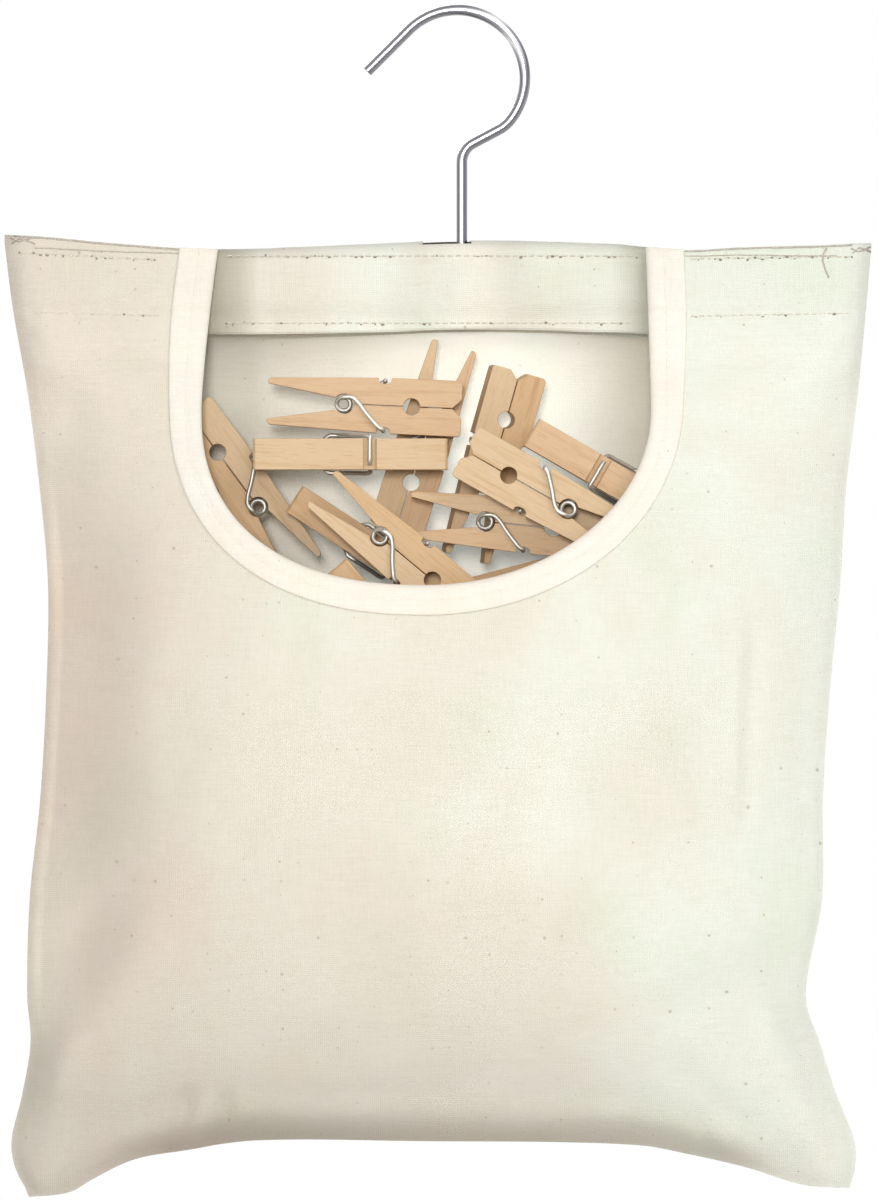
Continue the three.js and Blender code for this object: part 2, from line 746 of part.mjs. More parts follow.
function addPeg(number, place) {
  const peg = new THREE.Group();
  peg.position.set(
    mouthCentre + place.acrossShare * pegLength,
    place.depth,
    mouthBottom + place.upShare * pegLength,
  );
  peg.rotation.order = 'YZX';
  peg.rotation.y = -radians(place.heading);
  peg.rotation.x = radians(place.roll);
  addMesh(`peg${number}_held_lever`, leverGeometry(-place.free), beech, peg);
  addMesh(`peg${number}_free_lever`, leverGeometry(place.free), beech, peg);
  addMesh(`peg${number}_spring`, tubeAlong(springCourse, springWire / 2, springSides), springSteel, peg);
  object.add(peg);
}

// Heap: the pegs below, packed against the cloth up to the jaws of the front peg

const heapTop = mouthBottom - heapDrop;
const heapColumns = 16;
const heapRows = 9;

function pegHeap() {
  const front = [];
  const back = [];
  for (let i = 0; i <= heapRows; i++) {
    const down = i / heapRows;
    const frontRow = [];
    const backRow = [];
    for (let j = 0; j <= heapColumns; j++) {
      const drawn = heapSideGap / bagTopWidth + heapCornerDraw * down ** heapCornerPower;
      const s = lerp(drawn, 1 - drawn, j / heapColumns);
      const start = (topAt(s) - heapTop) / (topAt(s) - bottomAt(s));
      const t = lerp(start, heapBottomShare, down ** heapRowPower);
      const { x, z } = placeAt(s, t);
      frontRow.push(new THREE.Vector3(x, frontInner(s, t) + heapClothGap, z));
      backRow.push(new THREE.Vector3(x, backInner(s, t) - heapClothGap, z));
    }
    front.push(frontRow);
    back.push(backRow);
  }
  return solidBetween(front, back);
}

addMesh('hook', hook(), steel);
addMesh('hook_washer', washer(), steel);
addMesh('hanger_bar', hangerBar(), barWood);
addMesh('back_panel', backPanel(), canvas);
addMesh('front_panel', frontPanel(), canvas);
addMesh('mouth_binding', mouthBinding(), tape);
addMesh('peg_heap', pegHeap(), beech);
pegPlaces.forEach((place, k) => addPeg(k + 1, place));

export default object;
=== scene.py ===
import math
import random

import bpy
from mathutils import Matrix, Vector, noise


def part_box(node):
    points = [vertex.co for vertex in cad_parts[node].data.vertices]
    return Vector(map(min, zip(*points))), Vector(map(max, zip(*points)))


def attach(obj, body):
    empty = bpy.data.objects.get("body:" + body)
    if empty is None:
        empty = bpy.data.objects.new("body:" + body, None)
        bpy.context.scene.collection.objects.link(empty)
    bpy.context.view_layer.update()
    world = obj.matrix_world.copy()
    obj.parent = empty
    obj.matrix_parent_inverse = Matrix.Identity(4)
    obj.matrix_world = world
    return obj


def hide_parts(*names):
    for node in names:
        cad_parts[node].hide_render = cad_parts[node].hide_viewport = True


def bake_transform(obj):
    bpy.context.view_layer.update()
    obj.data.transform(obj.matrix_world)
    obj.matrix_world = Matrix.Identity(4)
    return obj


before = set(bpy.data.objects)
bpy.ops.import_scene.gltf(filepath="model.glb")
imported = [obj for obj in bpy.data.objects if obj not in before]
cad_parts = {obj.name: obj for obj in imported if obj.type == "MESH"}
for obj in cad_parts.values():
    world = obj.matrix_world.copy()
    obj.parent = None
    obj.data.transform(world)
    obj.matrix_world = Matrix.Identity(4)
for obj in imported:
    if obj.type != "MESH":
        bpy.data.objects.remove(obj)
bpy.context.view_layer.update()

MM = 0.001

# Sizes in millimetres

WIRE_RADIUS = 2.03
HOOK_RADIUS = 25.84
HOOK_TIP_LENGTH = 22.4
HOOK_SWEEP_ANGLE = 173
HOOK_NECK_ANGLE = 62.1
HOOK_NECK_RADIUS = 8
HOOK_SLOPE_LENGTH = 11.04
HOOK_SHOULDER_RADIUS = 14
HOOK_SHOULDER_ANGLE = 24.1
HOOK_SHANK_LENGTH = 58.59
HEAD_RADIUS = 3.6
HEAD_HEIGHT = 2.6
WIRE_SIDES = 32
HOOK_EDGE = 0.25

BAG_WIDTH = 329.4
BAG_LEFT = -171.9
BAG_TOP = -86.5
BAG_HEIGHT = 341
CLOTH = 1.1
HEM_DEPTH = 34
FRONT_FULLNESS = 49
BACK_FULLNESS = 41
ROLL_HEIGHT = 3
ROLL_ABOVE = 9
ROLL_WIDTH = 6
FOLD_SHARE = 0.02
SEAM_GAP = 0.03
SLIT_LENGTH = 17.7
SLIT_FRONT = -3.9
SLIT_BACK = 2.45
SLIT_SHARE = 0.84
SLIT_DEPTH = 5

MOUTH_WIDTH = 173
MOUTH_CENTRE = -11.7
MOUTH_WIDEST = -150
MOUTH_DEPTH = 68
TOP_INSET = 0.25
MOUTH_SIDE_SHARE = 0.24
MOUTH_LEFT_DRAW = 6.1
MOUTH_RIGHT_DRAW = 1.8
MOUTH_LEFT_POWER = 2.35
CORNER_SHARE = 0.36
TAPE_LEAF = 9.8
TAPE_SIDE_EXTRA = 3.2
TAPE_OVERHANG = 1.4

TOP_ROW = -91
EAR_ROW = -113.5
HEM_ROW = -117

PEG_TO_JAW = 44.8
PEG_TO_TIP = 28.9
PEG_TO_HOLE = 25.8
PEG_TO_GROOVE = 15.4
PEG_WIDTH = 11.8
LEVER_JAW_HEIGHT = 10.6
LEVER_TIP_HEIGHT = 8.9
LEVER_TIP_THICKNESS = 2.2
GRIP_HOLE_RADIUS = 3.2
JAW_BEVEL = 3.5
CORNER_CUT = 0.9
GROOVE_WIDTH = 5
GROOVE_DEPTH = 2.3
GROOVE_STEPS = 10
SEAT_ANGLE = 142
ARC_STEPS = 16
LEVER_EDGE = 0.3
LEVER_EDGE_ANGLE = 38
SPRING_WIRE = 1.7
COIL_RADIUS = 2.6
COIL_TURNS = 4.5
COIL_PITCH = 2.2
COIL_STEPS = 24
TOUCH_GAP = 0.35

# Tables of the bag's shape: a share of its height or width, then a share of its size

LEFT_DRAW = (
    (0, 0), (0.07, 0.009), (0.17, 0.027), (0.27, 0.04), (0.38, 0.05), (0.5, 0.048),
    (0.62, 0.041), (0.73, 0.029), (0.84, 0.026), (0.89, 0.03), (0.95, 0.02),
    (1, 0.008), (1.03, 0.012), (1.06, 0.028),
)
RIGHT_DRAW = (
    (0, 0), (0.07, 0.006), (0.17, 0.016), (0.27, 0.029), (0.38, 0.036), (0.5, 0.048),
    (0.62, 0.056), (0.73, 0.057), (0.84, 0.076), (0.89, 0.06), (0.95, 0.04),
    (1, 0.02), (1.03, 0.019), (1.06, 0.028),
)
TOP_DIP = (
    (0, -0.009), (0.05, -0.006), (0.13, 0.001), (0.24, 0.007), (0.4, 0.002),
    (0.53, -0.003), (0.7, 0.001), (0.78, 0.008), (0.85, 0.005), (0.94, 0.003), (1, 0),
)
BOTTOM_HANG = (
    (0, 0.063), (0.05, 0.058), (0.085, 0.044), (0.145, 0.021), (0.2, 0.012), (0.29, 0),
    (0.5, 0.001), (0.65, 0.002), (0.75, 0.006), (0.8, 0.015), (0.87, 0.03), (0.94, 0.049),
    (1, 0.053),
)
FRONT_DEPTH = (
    (0, 0.148), (0.095, 0.166), (0.14, 0.3), (0.2, 0.52), (0.27, 0.74), (0.34, 0.88),
    (0.42, 0.94), (0.55, 0.99), (0.73, 1), (0.85, 0.86), (0.95, 0.42), (1, 0.004),
)
BACK_DEPTH = (
    (0, 0.125), (0.085, 0.147), (0.11, 0.262), (0.14, 0.36), (0.2, 0.46), (0.27, 0.56),
    (0.38, 0.72), (0.55, 0.93), (0.73, 1), (0.85, 0.88), (0.95, 0.44), (1, 0.005),
)
# A share of the height, then the power that squares the bulge across
SQUARENESS = ((0, 40), (0.1, 30), (0.16, 8), (0.24, 4), (0.34, 3.2), (0.6, 2.8), (1, 2.4))


def clamp(value, low=0.0, high=1.0):
    return max(low, min(high, value))


def lerp(a, b, share):
    return a + (b - a) * share


def smooth_step(value, low, high):
    share = clamp((value - low) / (high - low))
    return share * share * (3 - 2 * share)


def bell(distance, width):
    return math.exp(-((distance / width) ** 2))


def smooth_table(table, at):
    at = clamp(at, table[0][0], table[-1][0])
    i = 0
    while at > table[i + 1][0]:
        i += 1

    def slope(k):
        a = table[max(k - 1, 0)]
        b = table[min(k + 1, len(table) - 1)]
        return (b[1] - a[1]) / (b[0] - a[0])

    (x0, y0), (x1, y1) = table[i], table[i + 1]
    width = x1 - x0
    t = (at - x0) / width
    square, cube = t * t, t * t * t
    return (
        y0 * (2 * cube - 3 * square + 1)
        + slope(i) * width * (cube - 2 * square + t)
        + y1 * (3 * square - 2 * cube)
        + slope(i + 1) * width * (cube - square)
    )


# The bag's shape

def left_at(drop):
    return BAG_LEFT + BAG_WIDTH * smooth_table(LEFT_DRAW, drop)


def right_at(drop):
    return BAG_LEFT + BAG_WIDTH * (1 - smooth_table(RIGHT_DRAW, drop))


def top_at(s):
    return BAG_TOP - BAG_HEIGHT * smooth_table(TOP_DIP, s)


def top_above(x):
    return top_at((x - BAG_LEFT) / BAG_WIDTH)


def bottom_at(s):
    return BAG_TOP - BAG_HEIGHT * (1 + smooth_table(BOTTOM_HANG, s))


def place_at(s, t):
    z = lerp(top_at(s), bottom_at(s), t)
    drop = (BAG_TOP - z) / BAG_HEIGHT
    return lerp(left_at(drop), right_at(drop), s), z


def share_of(x, z):
    drop = (BAG_TOP - z) / BAG_HEIGHT
    s = (x - left_at(drop)) / (right_at(drop) - left_at(drop))
    return s, (top_at(s) - z) / (top_at(s) - bottom_at(s))


def depth_of(s, t, fullness, table):
    across = abs(2 * clamp(s) - 1)
    return fullness * smooth_table(table, clamp(t)) * (1 - across ** smooth_table(SQUARENESS, t))


def crease(x, z, line):
    x0, z0, x1, z1, height, width = line
    dx, dz = x1 - x0, z1 - z0
    length = math.hypot(dx, dz)
    along = ((x - x0) * dx + (z - z0) * dz) / length
    across = ((x - x0) * dz - (z - z0) * dx) / length
    past = max(0, -along, along - length)
    return height * bell(across, width) * bell(past, 1.6 * width)


# Folds of the front cloth: both ends, height and half width
FRONT_CREASES = (
    (-138, -215, -144, -345, -5.2, 17), (-146, -150, -150, -215, -1.2, 9),
    (-150, -398, -118, -352, 2.4, 10), (-152, -360, -128, -330, -1.4, 10),
    (107, -240, 105, -292, 0.7, 3), (112, -236, 109, -300, -1.1, 4.5), (140, -440, 121, -386, 2.4, 8),
    (120, -434, 88, -403, -1.8, 7), (-158, -442, -149, -396, 2.4, 7),
    (-108, -430, -103, -412, -3.4, 3.2), (-99, -428, -96, -414, 1.2, 3),
    (-91, -427, -88, -413, -2.8, 3), (-84, -427, -81, -415, 0.9, 3), (96, -433, 92, -420, -1.8, 3),
    (-70, -226, -96, -300, 1.1, 12), (50, -226, 82, -300, 1, 12),
    (139.5, -88, 140.5, -100, -1.1, 1.5), (-20, -420, 40, -418, -1, 6),
    (-60, -405, -20, -398, 0.8, 9), (60, -370, 110, -352, 0.8, 10),
)
BACK_CREASES = (
    (-138, -150, -140, -320, -1.8, 8), (120, -160, 112, -330, -1.8, 8),
    (-150, -440, -120, -380, 2.4, 9), (134, -440, 104, -380, 2.4, 9),
    (-60, -150, -90, -300, 1.2, 14), (50, -150, 80, -300, 1.2, 14),
    (-20, -425, 40, -420, -1, 7), (-100, -428, -96, -415, -1.5, 3),
)


def ripple(x, z, seed):
    return 0.55 * noise.noise(Vector((x / 38, z / 46, seed))) + 0.17 * noise.noise(
        Vector((x / 10, z / 12, seed + 7))
    )


def seam_pucker(x, z, s, seed):
    near = min(s, 1 - s) * BAG_WIDTH
    return 0.5 * bell(near, 9) * noise.noise(Vector((x / 9, z / 6, seed)))


def stitch_pinch(x, z, row, depth):
    return -depth * bell(z - row, 2.1) * (1 + 0.3 * math.sin(x * 0.85) + 0.2 * math.sin(x * 0.37))


def hem_end(s):
    return top_at(s) - HEM_DEPTH + 0.6 * max(0, BAG_TOP - top_at(s))


def hem_step(s, t):
    side = smooth_step(min(s, 1 - s), 0, 0.04)
    fall = smooth_step(t, lerp(0.092, 0.1, side), lerp(0.099, 0.13, side))
    return (CLOTH + 2 * TOUCH_GAP) * lerp(0.3, 1, side) * (1 - fall)


def front_relief(x, z, s):
    lift = ripple(x, z, 3) + seam_pucker(x, z, s, 1)
    lift += sum(crease(x, z, line) for line in FRONT_CREASES)
    lift += stitch_pinch(x, z, TOP_ROW, 0.9) + stitch_pinch(x, z, EAR_ROW, 1)
    corners = (1 - smooth_step(x, 100, 130)) * (1 - 0.7 * smooth_step(-x, 110, 145))
    lift += ROLL_HEIGHT * bell(z - bottom_at(s) - ROLL_ABOVE, ROLL_WIDTH) * corners
    return lift * smooth_step(min(s, 1 - s), 0, 0.02)


def front_inner(s, t):
    return -(depth_of(s, t, FRONT_FULLNESS, FRONT_DEPTH) + SEAM_GAP + hem_step(s, t))


def front_face(x, z):
    s, t = share_of(x, z)
    return front_inner(s, t) - CLOTH - front_relief(x, z, s)


def back_inner(s, t):
    return depth_of(s, t, BACK_FULLNESS, BACK_DEPTH) + SEAM_GAP


def mouth_point(a):
    half = MOUTH_WIDTH / 2
    for up, side, draw in (
        (1 - a / MOUTH_SIDE_SHARE, -1, MOUTH_LEFT_DRAW),
        ((a - 1 + MOUTH_SIDE_SHARE) / MOUTH_SIDE_SHARE, 1, MOUTH_RIGHT_DRAW),
    ):
        if up > 0:
            x = MOUTH_CENTRE + side * half - side * draw * up ** 1.4
            return x, lerp(MOUTH_WIDEST, top_above(x) - TOP_INSET, up)
    angle = math.pi * (1 + (a - MOUTH_SIDE_SHARE) / (1 - 2 * MOUTH_SIDE_SHARE))
    power = 2 / (MOUTH_LEFT_POWER if angle < 1.5 * math.pi else 2)

    def curve(value):
        return math.copysign(abs(value) ** power, value)

    return (
        MOUTH_CENTRE + half * curve(math.cos(angle)),
        MOUTH_WIDEST + MOUTH_DEPTH * curve(math.sin(angle)),
    )


def frame_share(a):
    if a < CORNER_SHARE:
        return 0, a / CORNER_SHARE
    if a > 1 - CORNER_SHARE:
        return 1, (1 - a) / CORNER_SHARE
    return (a - CORNER_SHARE) / (1 - 2 * CORNER_SHARE), 1


# Mesh building

def make_piece(name, points, faces, material, body, smooth=True):
    mesh = bpy.data.meshes.new(name)
    mesh.from_pydata([tuple(c * MM for c in p) for p in points], [], faces)
    mesh.validate()
    mesh.polygons.foreach_set("use_smooth", [smooth] * len(mesh.polygons))
    mesh.update()
    piece = bpy.data.objects.new(name, mesh)
    bpy.context.scene.collection.objects.link(piece)
    mesh.materials.append(material)
    if body:
        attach(piece, body)
    return piece


def face_out(points, faces):
    volume = 0.0
    for face in faces:
        a = Vector(points[face[0]])
        for j in range(1, len(face) - 1):
            volume += a.dot(Vector(points[face[j]]).cross(Vector(points[face[j + 1]])))
    return faces if volume > 0 else [tuple(reversed(face)) for face in faces]


def between_grids(outer, inner):
    rows, columns = len(outer), len(outer[0])
    points = [p for row in outer for p in row] + [p for row in inner for p in row]
    offset = rows * columns
    faces = []
    for i in range(rows - 1):
        for j in range(columns - 1):
            a = i * columns + j
            faces.append((a, a + 1, a + columns + 1, a + columns))
            b = offset + a
            faces.append((b + columns, b + columns + 1, b + 1, b))
    rim = list(range(columns - 1))
    rim += [i * columns + columns - 1 for i in range(rows - 1)]
    rim += [(rows - 1) * columns + j for j in range(columns - 1, 0, -1)]
    rim += [i * columns for i in range(rows - 1, 0, -1)]
    for k, a in enumerate(rim):
        b = rim[(k + 1) % len(rim)]
        faces.append((a, offset + a, offset + b, b))
    return points, face_out(points, faces)


def ring_faces(rings, sides):
    faces = []
    for k in range(rings - 1):
        for j in range(sides):
            a, b = k * sides + j, k * sides + (j + 1) % sides
            faces.append((a, b, b + sides, a + sides))
    faces.append(tuple(reversed(range(sides))))
    faces.append(tuple(range((rings - 1) * sides, rings * sides)))
    return faces


def circle(centre, side, up, radius, sides):
    angles = [math.tau * j / sides for j in range(sides)]
    return [centre + side * radius * math.cos(a) + up * radius * math.sin(a) for a in angles]


def add_mesh(total, points, faces):
    base = len(total[0])
    total[0].extend(points)
    total[1].extend(tuple(i + base for i in face) for face in faces)


def tube(path, radius, sides):
    path = [Vector(p) for p in path]
    points = []
    side = None
    for k, point in enumerate(path):
        along = (path[min(k + 1, len(path) - 1)] - path[max(k - 1, 0)]).normalized()
        if side is None:
            side = Vector((0, 1, 0)) if abs(along.y) < 0.7 else Vector((1, 0, 0))
        side = (side - along * side.dot(along)).normalized()
        points += circle(point, side, along.cross(side), radius, sides)
    return points, face_out(points, ring_faces(len(path), sides))


def soften(piece, width, angle):
    modifier = piece.modifiers.new("edge", "BEVEL")
    modifier.width = width * MM
    modifier.segments = 2
    modifier.limit_method = "ANGLE"
    modifier.angle_limit = math.radians(angle)


# Materials

PLAIN = (1, 1, 1)
NONE = (0, 0, 0)


class Nodes:
    """A node tree with short ways to add its nodes."""

    def __init__(self, tree):
        self.nodes, self.links = tree.nodes, tree.links

    def feed(self, socket, value):
        if hasattr(value, "is_linked"):
            self.links.new(value, socket)
        else:
            socket.default_value = value

    def node(self, kind, inputs=(), **values):
        node = self.nodes.new("ShaderNode" + kind)
        for key, value in values.items():
            setattr(node, key, value)
        for key, value in dict(inputs).items():
            self.feed(node.inputs[key], value)
        return node

    def coordinates(self, scale, location=(0, 0, 0), kind="Object"):
        source = self.node("TexCoord").outputs[kind]
        inputs = {"Vector": source, "Scale": scale, "Location": location}
        return self.node("Mapping", inputs).outputs["Vector"]

    def noise(self, scale, detail, roughness, location=(0, 0, 0), kind="Object"):
        place = self.coordinates(scale, location, kind)
        inputs = {"Vector": place, "Scale": 1, "Detail": detail, "Roughness": roughness}
        return self.node("TexNoise", inputs).outputs["Fac"]

    def wave(self, vector, scale, direction):
        inputs = {"Vector": vector, "Scale": scale, "Distortion": 1.2, "Detail Scale": 1.5}
        return self.node("TexWave", inputs, bands_direction=direction).outputs["Fac"]

    def ramp(self, value, *stops):
        node = self.node("ValToRGB", {"Fac": value})
        elements = node.color_ramp.elements
        while len(elements) < len(stops):
            elements.new(0.5)
        for element, (position, colour) in zip(elements, stops):
            element.position = position
            element.color = (*colour, 1)
        return node.outputs["Color"]

    def mix(self, a, b, share, blend="MIX"):
        inputs = {6: a, 7: b, 0: share}
        return self.node("Mix", inputs, data_type="RGBA", blend_type=blend).outputs[2]

    def tinted(self, colour, share, value, *stops):
        return self.mix(colour, self.ramp(value, *stops), share, "MULTIPLY")

    def maths(self, operation, a, b):
        return self.node("Math", {0: a, 1: b}, operation=operation).outputs["Value"]

    def product(self, a, b):
        return self.maths("MULTIPLY", a, b)

    def total(self, a, b):
        return self.maths("ADD", a, b)

    def seen(self):
        """1 where the camera sees it, also in metal or through glass."""
        rays = self.node("LightPath").outputs
        reflected = self.maths("MAXIMUM", rays["Is Glossy Ray"], rays["Is Transmission Ray"])
        return self.maths("MAXIMUM", rays["Is Camera Ray"], reflected)


class Shader(Nodes):
    def __init__(self, name):
        self.material = bpy.data.materials.new(name)
        self.material.use_nodes = True
        super().__init__(self.material.node_tree)
        self.bsdf = self.nodes["Principled BSDF"]

    def set(self, **values):
        for key, value in values.items():
            self.feed(self.bsdf.inputs[key.replace("_", " ").title()], value)

    def bump(self, height, strength, distance):
        inputs = {"Height": height, "Strength": strength, "Distance": distance}
        self.set(normal=self.node("Bump", inputs).outputs["Normal"])


def srgb(red, green, blue):
    def linear(value):
        value /= 255
        return value / 12.92 if value <= 0.04045 else ((value + 0.055) / 1.055) ** 2.4

    return linear(red), linear(green), linear(blue)


# The cloth's tones run over its width and height as a share of each
WIDE_SCALE = 2.6
WIDE_MIDDLE = 0.52
HIGH_MIDDLE = 1.2
FLECK_CELLS = 55
FLECK_TONE = srgb(150, 132, 104)


# Stops of painted light and shade across the width: a place in millimetres and a brightness, warmer
# where darker.
def painted_light_across(*stops):
    return [
        (WIDE_MIDDLE + WIDE_SCALE * x * MM, (light, light ** 1.1, light ** 1.2))
        for x, light in stops
    ]


def painted_cloth_shade(shader, colour, wide, high):
    """Painted shade: darker low down and more so on the left, along the bottom seam, a little at the
    top and in the valley at the left.
    """
    slant = shader.product(shader.maths("SUBTRACT", wide, 0.5), 0.25)
    colour = shader.tinted(
        colour, 1, shader.total(high, slant),
        (0.04, (0.74, 0.73, 0.73)), (0.13, (0.87, 0.86, 0.86)), (0.42, PLAIN),
    )
    # Painted shade along the bottom seam, read from a point attribute of the front cloth.
    edge = shader.node("Attribute", attribute_name="painted_edge_shade").outputs["Fac"]
    colour = shader.tinted(colour, 1, edge, (0, PLAIN), (1, (0.77, 0.72, 0.68)))
    colour = shader.tinted(colour, 1, high, (0.87, PLAIN), (0.93, (0.955, 0.955, 0.955)))
    near_side = shader.ramp(wide, (0.13, PLAIN), (0.23, NONE))
    waist = shader.ramp(high, (0.3, NONE), (0.45, PLAIN), (0.62, PLAIN), (0.78, NONE))
    valley = shader.product(near_side, waist)
    return shader.tinted(colour, 1, valley, (0, PLAIN), (1, (0.86, 0.83, 0.81)))


def cloth_flecks(shader, wide, high, threads, fleck_share):
    """Small specks of seed, one in some cells of a grid, smeared along the threads."""
    flat = shader.node("CombineXYZ", {"X": wide, "Y": high}).outputs["Vector"]
    inputs = {"Vector": flat, "Scale": FLECK_CELLS}
    cells = shader.node("TexVoronoi", inputs, voronoi_dimensions="2D").outputs
    draws = shader.node("SeparateColor", {"Color": cells["Color"]}).outputs
    spread = shader.total(shader.product(draws["Green"], 1.2), 0.4)
    smeared = shader.total(cells["Distance"], shader.product(threads, 0.03))
    dot = shader.ramp(shader.product(smeared, spread), (0.02, PLAIN), (0.06, NONE))
    few = shader.ramp(
        draws["Red"], (fleck_share, (0.9, 0.9, 0.9)), (fleck_share + 0.02, NONE)
    )
    faint = shader.total(shader.product(draws["Blue"], 0.6), 0.15)
    return shader.product(shader.product(dot, few), faint)


def cloth_material(name, tones, fleck_share, weave, across=(), painted_glow=False):
    shader = Shader(name)
    broad = shader.noise((9, 9, 7), 3, 0.55)
    place = shader.coordinates((WIDE_SCALE, 1, WIDE_SCALE), (WIDE_MIDDLE, 0, HIGH_MIDDLE))
    shares = shader.node("SeparateXYZ", {"Vector": place}).outputs
    wide, high = shares["X"], shares["Z"]
    spread = shader.total(wide, shader.product(shader.maths("SUBTRACT", broad, 0.5), 1.5))
    # Tones from left to right; the darker left is painted shade.
    colour = shader.ramp(spread, (0.1, tones[0]), (0.48, tones[1]), (0.75, tones[2]))
    colour = painted_cloth_shade(shader, colour, wide, high)
    # Painted light and shade across the width, for the hem and the back cloth in the mouth.
    if across:
        colour = shader.tinted(colour, 1, wide, *across)
    colour = shader.tinted(
        colour, 1, shader.noise((21, 21, 16), 4, 0.6, (3, 0, 5)),
        (0.36, (1, 0.972, 0.955)), (0.5, PLAIN), (0.64, (0.962, 0.985, 0.95)),
    )
    along = shader.noise((110, 110, 2300), 3, 0.6)
    down = shader.noise((2300, 2300, 110), 3, 0.6)
    threads = shader.product(shader.total(along, down), 0.5)
    colour = shader.tinted(colour, 0.75, threads, (0.36, (0.9, 0.89, 0.87)), (0.6, PLAIN))
    fleck = cloth_flecks(shader, wide, high, threads, fleck_share)
    pitch, height = weave
    scale = math.tau / (20 * pitch * MM)
    place = shader.coordinates((1, 1, 1))
    woven = shader.product(shader.wave(place, scale, "X"), shader.wave(place, scale, "Z"))
    shader.bump(shader.total(woven, threads), 0.55, height * MM)
    shader.set(
        base_color=shader.mix(colour, (*FLECK_TONE, 1), fleck),
        roughness=0.92, sheen_weight=0.12, sheen_roughness=0.5,
    )
    # Painted light: the back cloth in the mouth glows.
    if painted_glow:
        paint_glow(shader)
    return shader.material


def paint_glow(shader):
    """Painted light: an emission glow on the back cloth, brightest in the middle of the mouth."""
    place = shader.coordinates((13, 0, 10.5), (-0.03, 0, 1.68))
    glow = shader.node("TexGradient", {"Vector": place}, gradient_type="SPHERICAL")
    strength = shader.product(glow.outputs["Fac"], 0.45)
    shader.set(emission_color=(0.95, 1.08, 1.08, 1), emission_strength=strength)


def wood_material(name, light, dark, place=(0, 0, 0)):
    shader = Shader(name)
    grain = shader.noise((26, 420, 1), 5, 0.6, place, "UV")
    pores = shader.noise((150, 2900, 1), 2, 0.5, place, "UV")
    worn = tuple(0.93 * c for c in light)
    colour = shader.ramp(grain, (0.28, dark), (0.5, light), (0.72, worn))
    colour = shader.tinted(colour, 0.6, pores, (0.3, (0.72, 0.64, 0.56)), (0.42, PLAIN))
    shader.bump(shader.total(grain, pores), 0.35, 0.12 * MM)
    shader.set(base_color=colour, roughness=0.62)
    return shader.material


def metal_with_painted_reflection(name, bright, middle, edge, roughness, scale, metallic=1.0):
    """Painted reflections: bands of tone by where the surface faces, as bright wire shows a pale
    room.
    """
    shader = Shader(name)
    normal = shader.node("NewGeometry").outputs["Normal"]
    inputs = {0: normal, 1: (-0.36, 0, 0.36)}
    facing = shader.node("VectorMath", inputs, operation="DOT_PRODUCT")
    colour = shader.ramp(
        shader.total(facing.outputs["Value"], 0.5),
        (0.2, middle), (0.28, edge), (0.38, tuple(1.5 * c for c in edge)), (0.48, middle),
        (0.57, bright), (0.66, middle), (0.75, edge), (0.86, middle),
    )
    smudge = shader.noise((scale, scale, scale), 4, 0.6)
    colour = shader.tinted(colour, 0.5, smudge, (0.3, (0.86, 0.86, 0.86)), (0.65, PLAIN))
    shader.set(base_color=colour, metallic=metallic, roughness=roughness)
    shader.bump(smudge, 0.15, 0.05 * MM)
    return shader.material


# Twisted thread; also the colour of thin painted shadows.
def thread_and_painted_shadow_material(name, dark, light):
    shader = Shader(name)
    twist = shader.noise((1800, 1800, 1800), 2, 0.5)
    shader.set(base_color=shader.ramp(twist, (0.35, dark), (0.65, light)), roughness=0.9)
    shader.bump(twist, 0.4, 0.1 * MM)
    return shader.material


# Each set runs from left to right across the cloth, blurred by broad noise. CREAM is darker on the
# left: painted shade, with the cloth's own change of tone. PALE is the same canvas seen in the mouth,
# painted lighter in the middle and darker on the left.
CREAM = (srgb(224, 214, 200), srgb(226, 223, 209), srgb(231, 234, 222))
PALE = (srgb(208, 198, 178), srgb(242, 241, 231), srgb(238, 231, 217))
WHITE = (srgb(240, 235, 226), srgb(241, 234, 222), srgb(243, 238, 228))
CANVAS_WEAVE = (0.75, 0.16)
TAPE_WEAVE = (0.55, 0.1)
# Painted light and shade on the hem: dark at both ends beside the tape, a little lighter in the
# middle.
HEM_PAINTED_LIGHT = painted_light_across(
    (-94, 0.52), (-88, 0.66), (-82, 0.76), (-75, 1), (-30, 1.05), (-14, 0.96), (0, 1.1),
    (9, 1.08), (20, 0.97), (34, 1.03), (58, 1.01), (68, 0.74), (75, 0.55),
)
# Painted shade on the back cloth in the mouth: darker towards both sides.
LINING_PAINTED_SHADE = painted_light_across(
    (-92, 0.8), (-79, 0.83), (-70, 0.97), (-55, 1), (46, 1), (60, 0.93), (72, 0.84),
)
canvas = cloth_material("canvas", CREAM, 0.34, CANVAS_WEAVE)
hem_canvas_painted_light = cloth_material("hem_canvas_painted_light", CREAM, 0.25, CANVAS_WEAVE, HEM_PAINTED_LIGHT)
lining = cloth_material("lining", PALE, 0.22, CANVAS_WEAVE, LINING_PAINTED_SHADE, painted_glow=True)
tape = cloth_material("tape", WHITE, 0.02, TAPE_WEAVE)
beech = [
    wood_material("beech_pale", srgb(208, 180, 143), srgb(194, 160, 117)),
    wood_material("beech_warm", srgb(203, 169, 127), srgb(187, 148, 104), (0.3, 0.2, 0)),
    wood_material("beech_pink", srgb(206, 174, 136), srgb(190, 152, 113), (0.7, 0.5, 0)),
]
bar_wood = wood_material("bar_wood", srgb(222, 190, 148), srgb(204, 168, 124))
# Both wires carry painted reflections in their colour.
wire_metal = metal_with_painted_reflection(
    "hook_nickel", srgb(232, 232, 234), srgb(158, 158, 163), srgb(108, 108, 114), 0.3, 500
)
spring_metal = metal_with_painted_reflection(
    "spring_zinc", srgb(220, 217, 209), srgb(196, 192, 183), srgb(146, 141, 132), 0.5, 900, 0.7
)
thread = thread_and_painted_shadow_material("thread", srgb(196, 188, 172), srgb(228, 224, 212))
